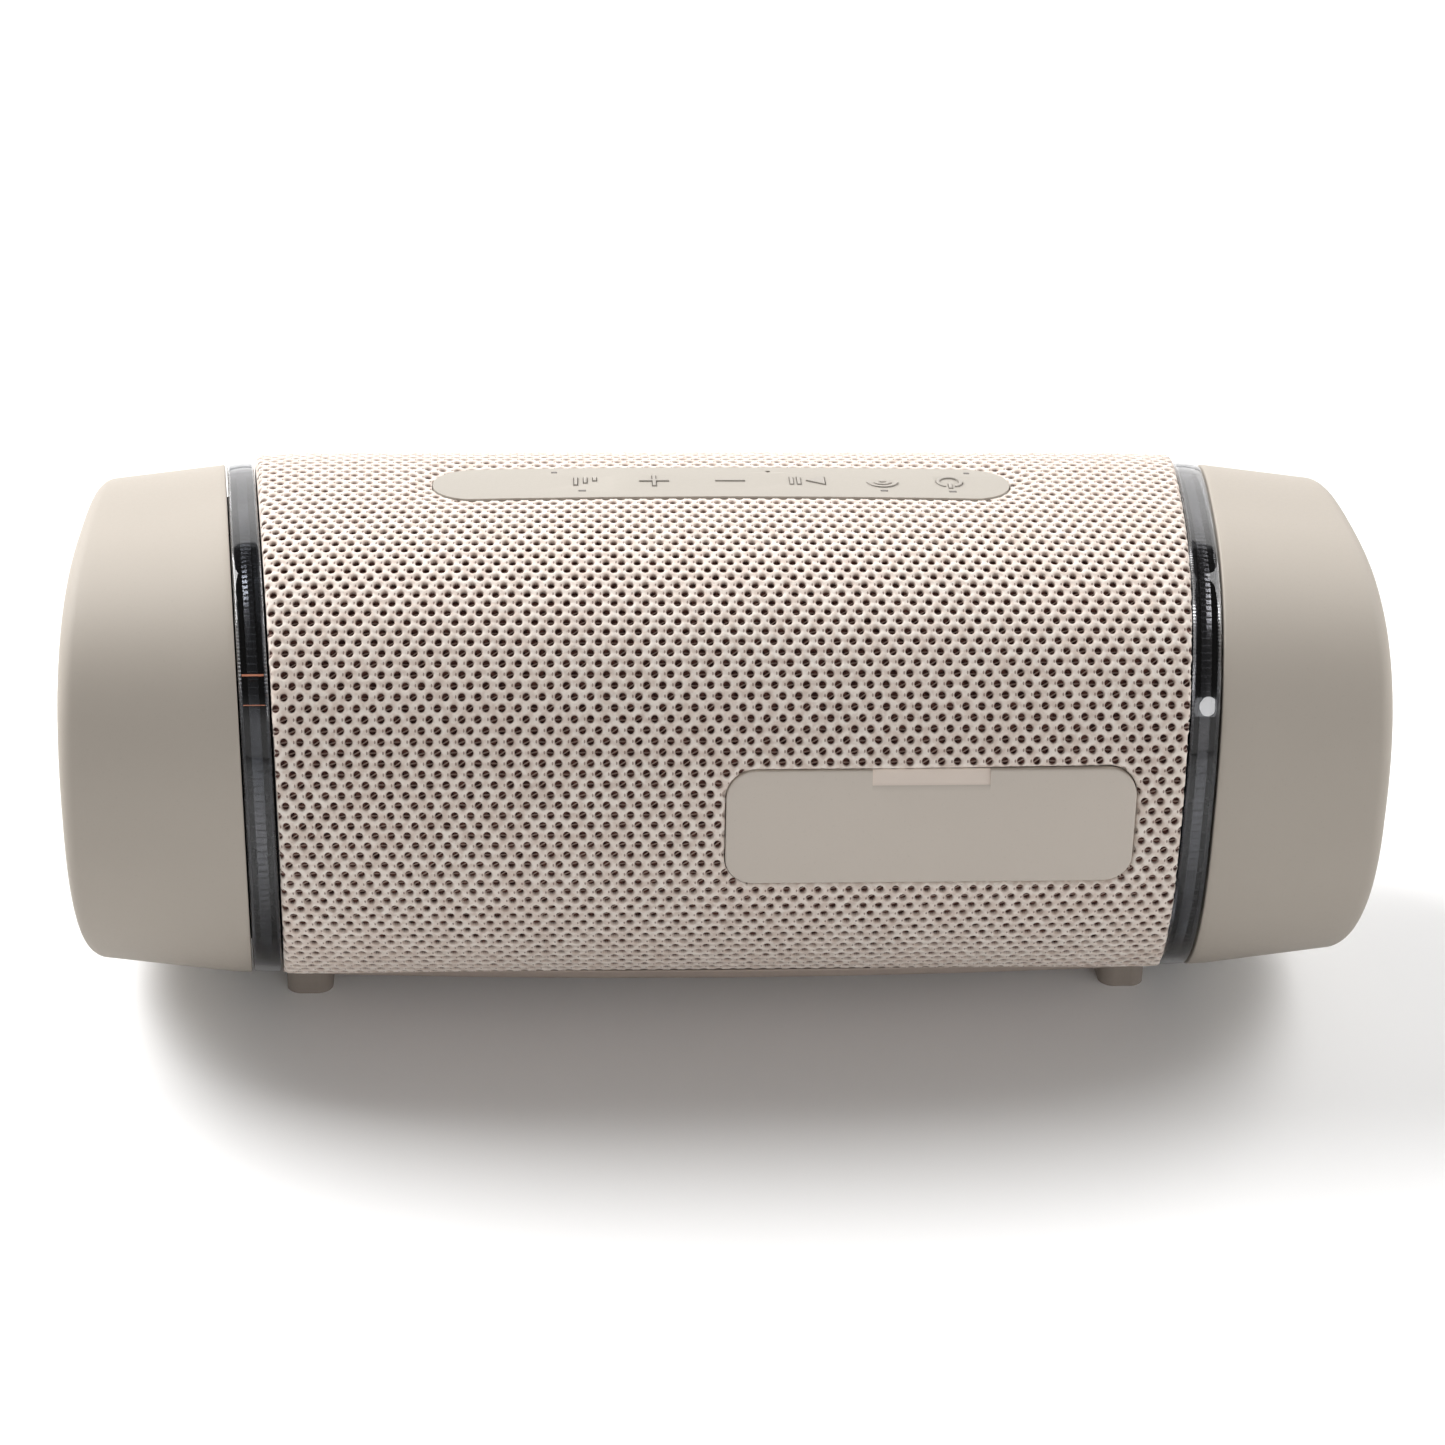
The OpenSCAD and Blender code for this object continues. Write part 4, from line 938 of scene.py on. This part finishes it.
def radiator_sleeve(side, name):
    """Rubber sleeve between the radiator's frame and its plate, lofted in place; it does not move with
    the plate.
    """
    inner, outer = SLEEVE_R
    wall = np.linspace(SLEEVE_ROOT + 0.3, SLEEVE_TOP, 14)
    profile = [(SLEEVE_ROOT, SLEEVE_FLANGE), (SLEEVE_ROOT, outer + 0.2), (SLEEVE_ROOT + 0.1, outer)]
    profile += [(x, outer) for x in wall]
    profile += [(SLEEVE_TOP + 0.2, outer - 0.05), (SLEEVE_TOP + 0.2, inner)]
    profile += [(x, inner) for x in wall[::-1]]
    profile += [(SLEEVE_ROOT - 0.2, inner), (SLEEVE_ROOT - 0.2, SLEEVE_FLANGE)]
    rings = mirrored([circle(x, r) for x, r in profile], side)
    o = loft(name, rings, MAT["rubber"], flip=side < 0, loop=True, body=None)
    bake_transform(o)


radiator_sleeve(1, "radiator_sleeve_right")
radiator_sleeve(-1, "radiator_sleeve_left")


def lead(name, degrees, width):
    """Copper lead inlaid across the left ring's lens."""
    mid = math.radians(degrees)
    half = width / 2 / HALF_H
    angles = np.array([mid - half, mid + half])
    rings = [slanted(RING_IN + SEAM + t, d, angles) for t, d in
             ((0.7, 0.08), (4.6, 0.08), (4.6, 0.4), (0.7, 0.4))]
    verts = np.concatenate(mirrored(rings, -1))
    faces = [[0, 2, 3, 1], [2, 4, 5, 3], [4, 6, 7, 5], [6, 0, 1, 7], [1, 3, 5, 7], [6, 4, 2, 0]]
    o = mesh(name, verts, faces, MAT["copper"], smooth=False)
    close_up(o)


lead("ring_lead_wide", -53.3, 0.42)
lead("ring_lead_thin", -61.0, 0.16)

# ---------- stage, light and camera ----------
FLOOR_HALF = 9000
m = Nodes("pale_floor")
pale = m.mix(m.step(m.noise(m.position(), 3.0), 0.3, 0.7), (0.94, 0.94, 0.94), (0.96, 0.96, 0.96))
seen = m.add("ShaderNodeLightPath").outputs["Is Camera Ray"]
m.principled(Base_Color=m.mix(seen, (0.68, 0.68, 0.68), pale), Roughness=0.85)
floor = mesh("floor", [(x, y, 0) for x, y in ((-FLOOR_HALF, -FLOOR_HALF), (FLOOR_HALF, -FLOOR_HALF),
                                              (FLOOR_HALF, FLOOR_HALF), (-FLOOR_HALF, FLOOR_HALF))],
             [(0, 1, 2, 3)], m.material, body=None, smooth=False)

world = bpy.data.worlds.new("studio")
bpy.context.scene.world = world


def studio_world(world, front, rear_low, rear_high, above, edge):
    """Dim room with a bright backdrop on the far side, brighter upwards, up to the height edge."""
    m = Nodes(world=world)
    back = m.add("ShaderNodeBackground")
    m.link(back.outputs[0], m.out.inputs["Surface"])
    way = m.add("ShaderNodeSeparateXYZ")
    m.link(m.add("ShaderNodeTexCoord").outputs["Generated"], way.inputs[0])
    rear = m.step(way.outputs[1], -0.05, 0.25)
    low = m.step(way.outputs[2], edge, edge + 0.02, 1.0, 0.0)
    climb = m.step(way.outputs[2], 0.0, edge, rear_low, rear_high)
    sky = m.math("MULTIPLY", m.math("MULTIPLY", rear, low), climb)
    room = m.step(way.outputs[2], 0.25, 0.6, front, above)
    m.link(m.math("ADD", sky, room), back.inputs["Strength"])
    back.inputs["Color"].default_value = (1.0, 0.985, 0.97, 1)


studio_world(world, front=0.70, rear_low=0.7, rear_high=1.55, above=0.10, edge=0.60)


def frame_of(right, up, back, place):
    """Object matrix from its three axes and its place."""
    return Matrix([[right[i], up[i], back[i], place[i]] for i in range(3)] + [[0, 0, 0, 1]])


def softbox(name, place, target, size, power):
    """Area light that faces its target and is not seen by the camera; a small one is round."""
    light = bpy.data.lights.new(name, "AREA")
    light.shape = "ELLIPSE" if size[0] < 0.3 else "RECTANGLE"
    light.size, light.size_y = size
    light.energy = power
    o = bpy.data.objects.new(name, light)
    o.visible_camera = False
    bpy.context.scene.collection.objects.link(o)
    place, target = np.array(place, float), np.array(target, float)
    back = (place - target) / np.linalg.norm(place - target)
    right = np.cross((0, 0, 1), back)
    right /= np.linalg.norm(right)
    o.matrix_world = frame_of(right, np.cross(back, right), back, place)


softbox("left_box", (-0.95, 0.55, 1.0), (0, 0, 0.05), (0.9, 0.9), 29)
softbox("right_box", (0.95, 0.45, 1.05), (0, 0, 0.05), (0.9, 0.9), 12)
softbox("side_lamp", (0.48, -1.17, 0.62), (0.05, 0, 0.05), (0.28, 0.28), 1.7)
softbox("right_fill", (1.3, -0.6, 0.5), (0.05, 0, 0.05), (0.5, 0.5), 2.3)

PITCH_DOWN, YAW, ROLL = 0.4687, -0.0582, 0.0217
LENS_MM, SENSOR_MM = 79.15, 36.0
EYE = (-0.03159, -0.55432, 0.33131)
level = np.array([math.cos(YAW), math.sin(YAW), 0])
ahead = np.array([-math.sin(YAW) * math.cos(PITCH_DOWN), math.cos(YAW) * math.cos(PITCH_DOWN),
                  -math.sin(PITCH_DOWN)])
up = np.cross(level, ahead)
right = level * math.cos(ROLL) + up * math.sin(ROLL)
top = -level * math.sin(ROLL) + up * math.cos(ROLL)
camera = bpy.data.objects.new("camera", bpy.data.cameras.new("camera"))
camera.data.lens, camera.data.sensor_width = LENS_MM, SENSOR_MM
camera.matrix_world = frame_of(right, top, -ahead, EYE)
scene = bpy.context.scene
scene.collection.objects.link(camera)
scene.camera = camera
scene.view_settings.view_transform = "Standard"
scene.view_settings.exposure = 0.0
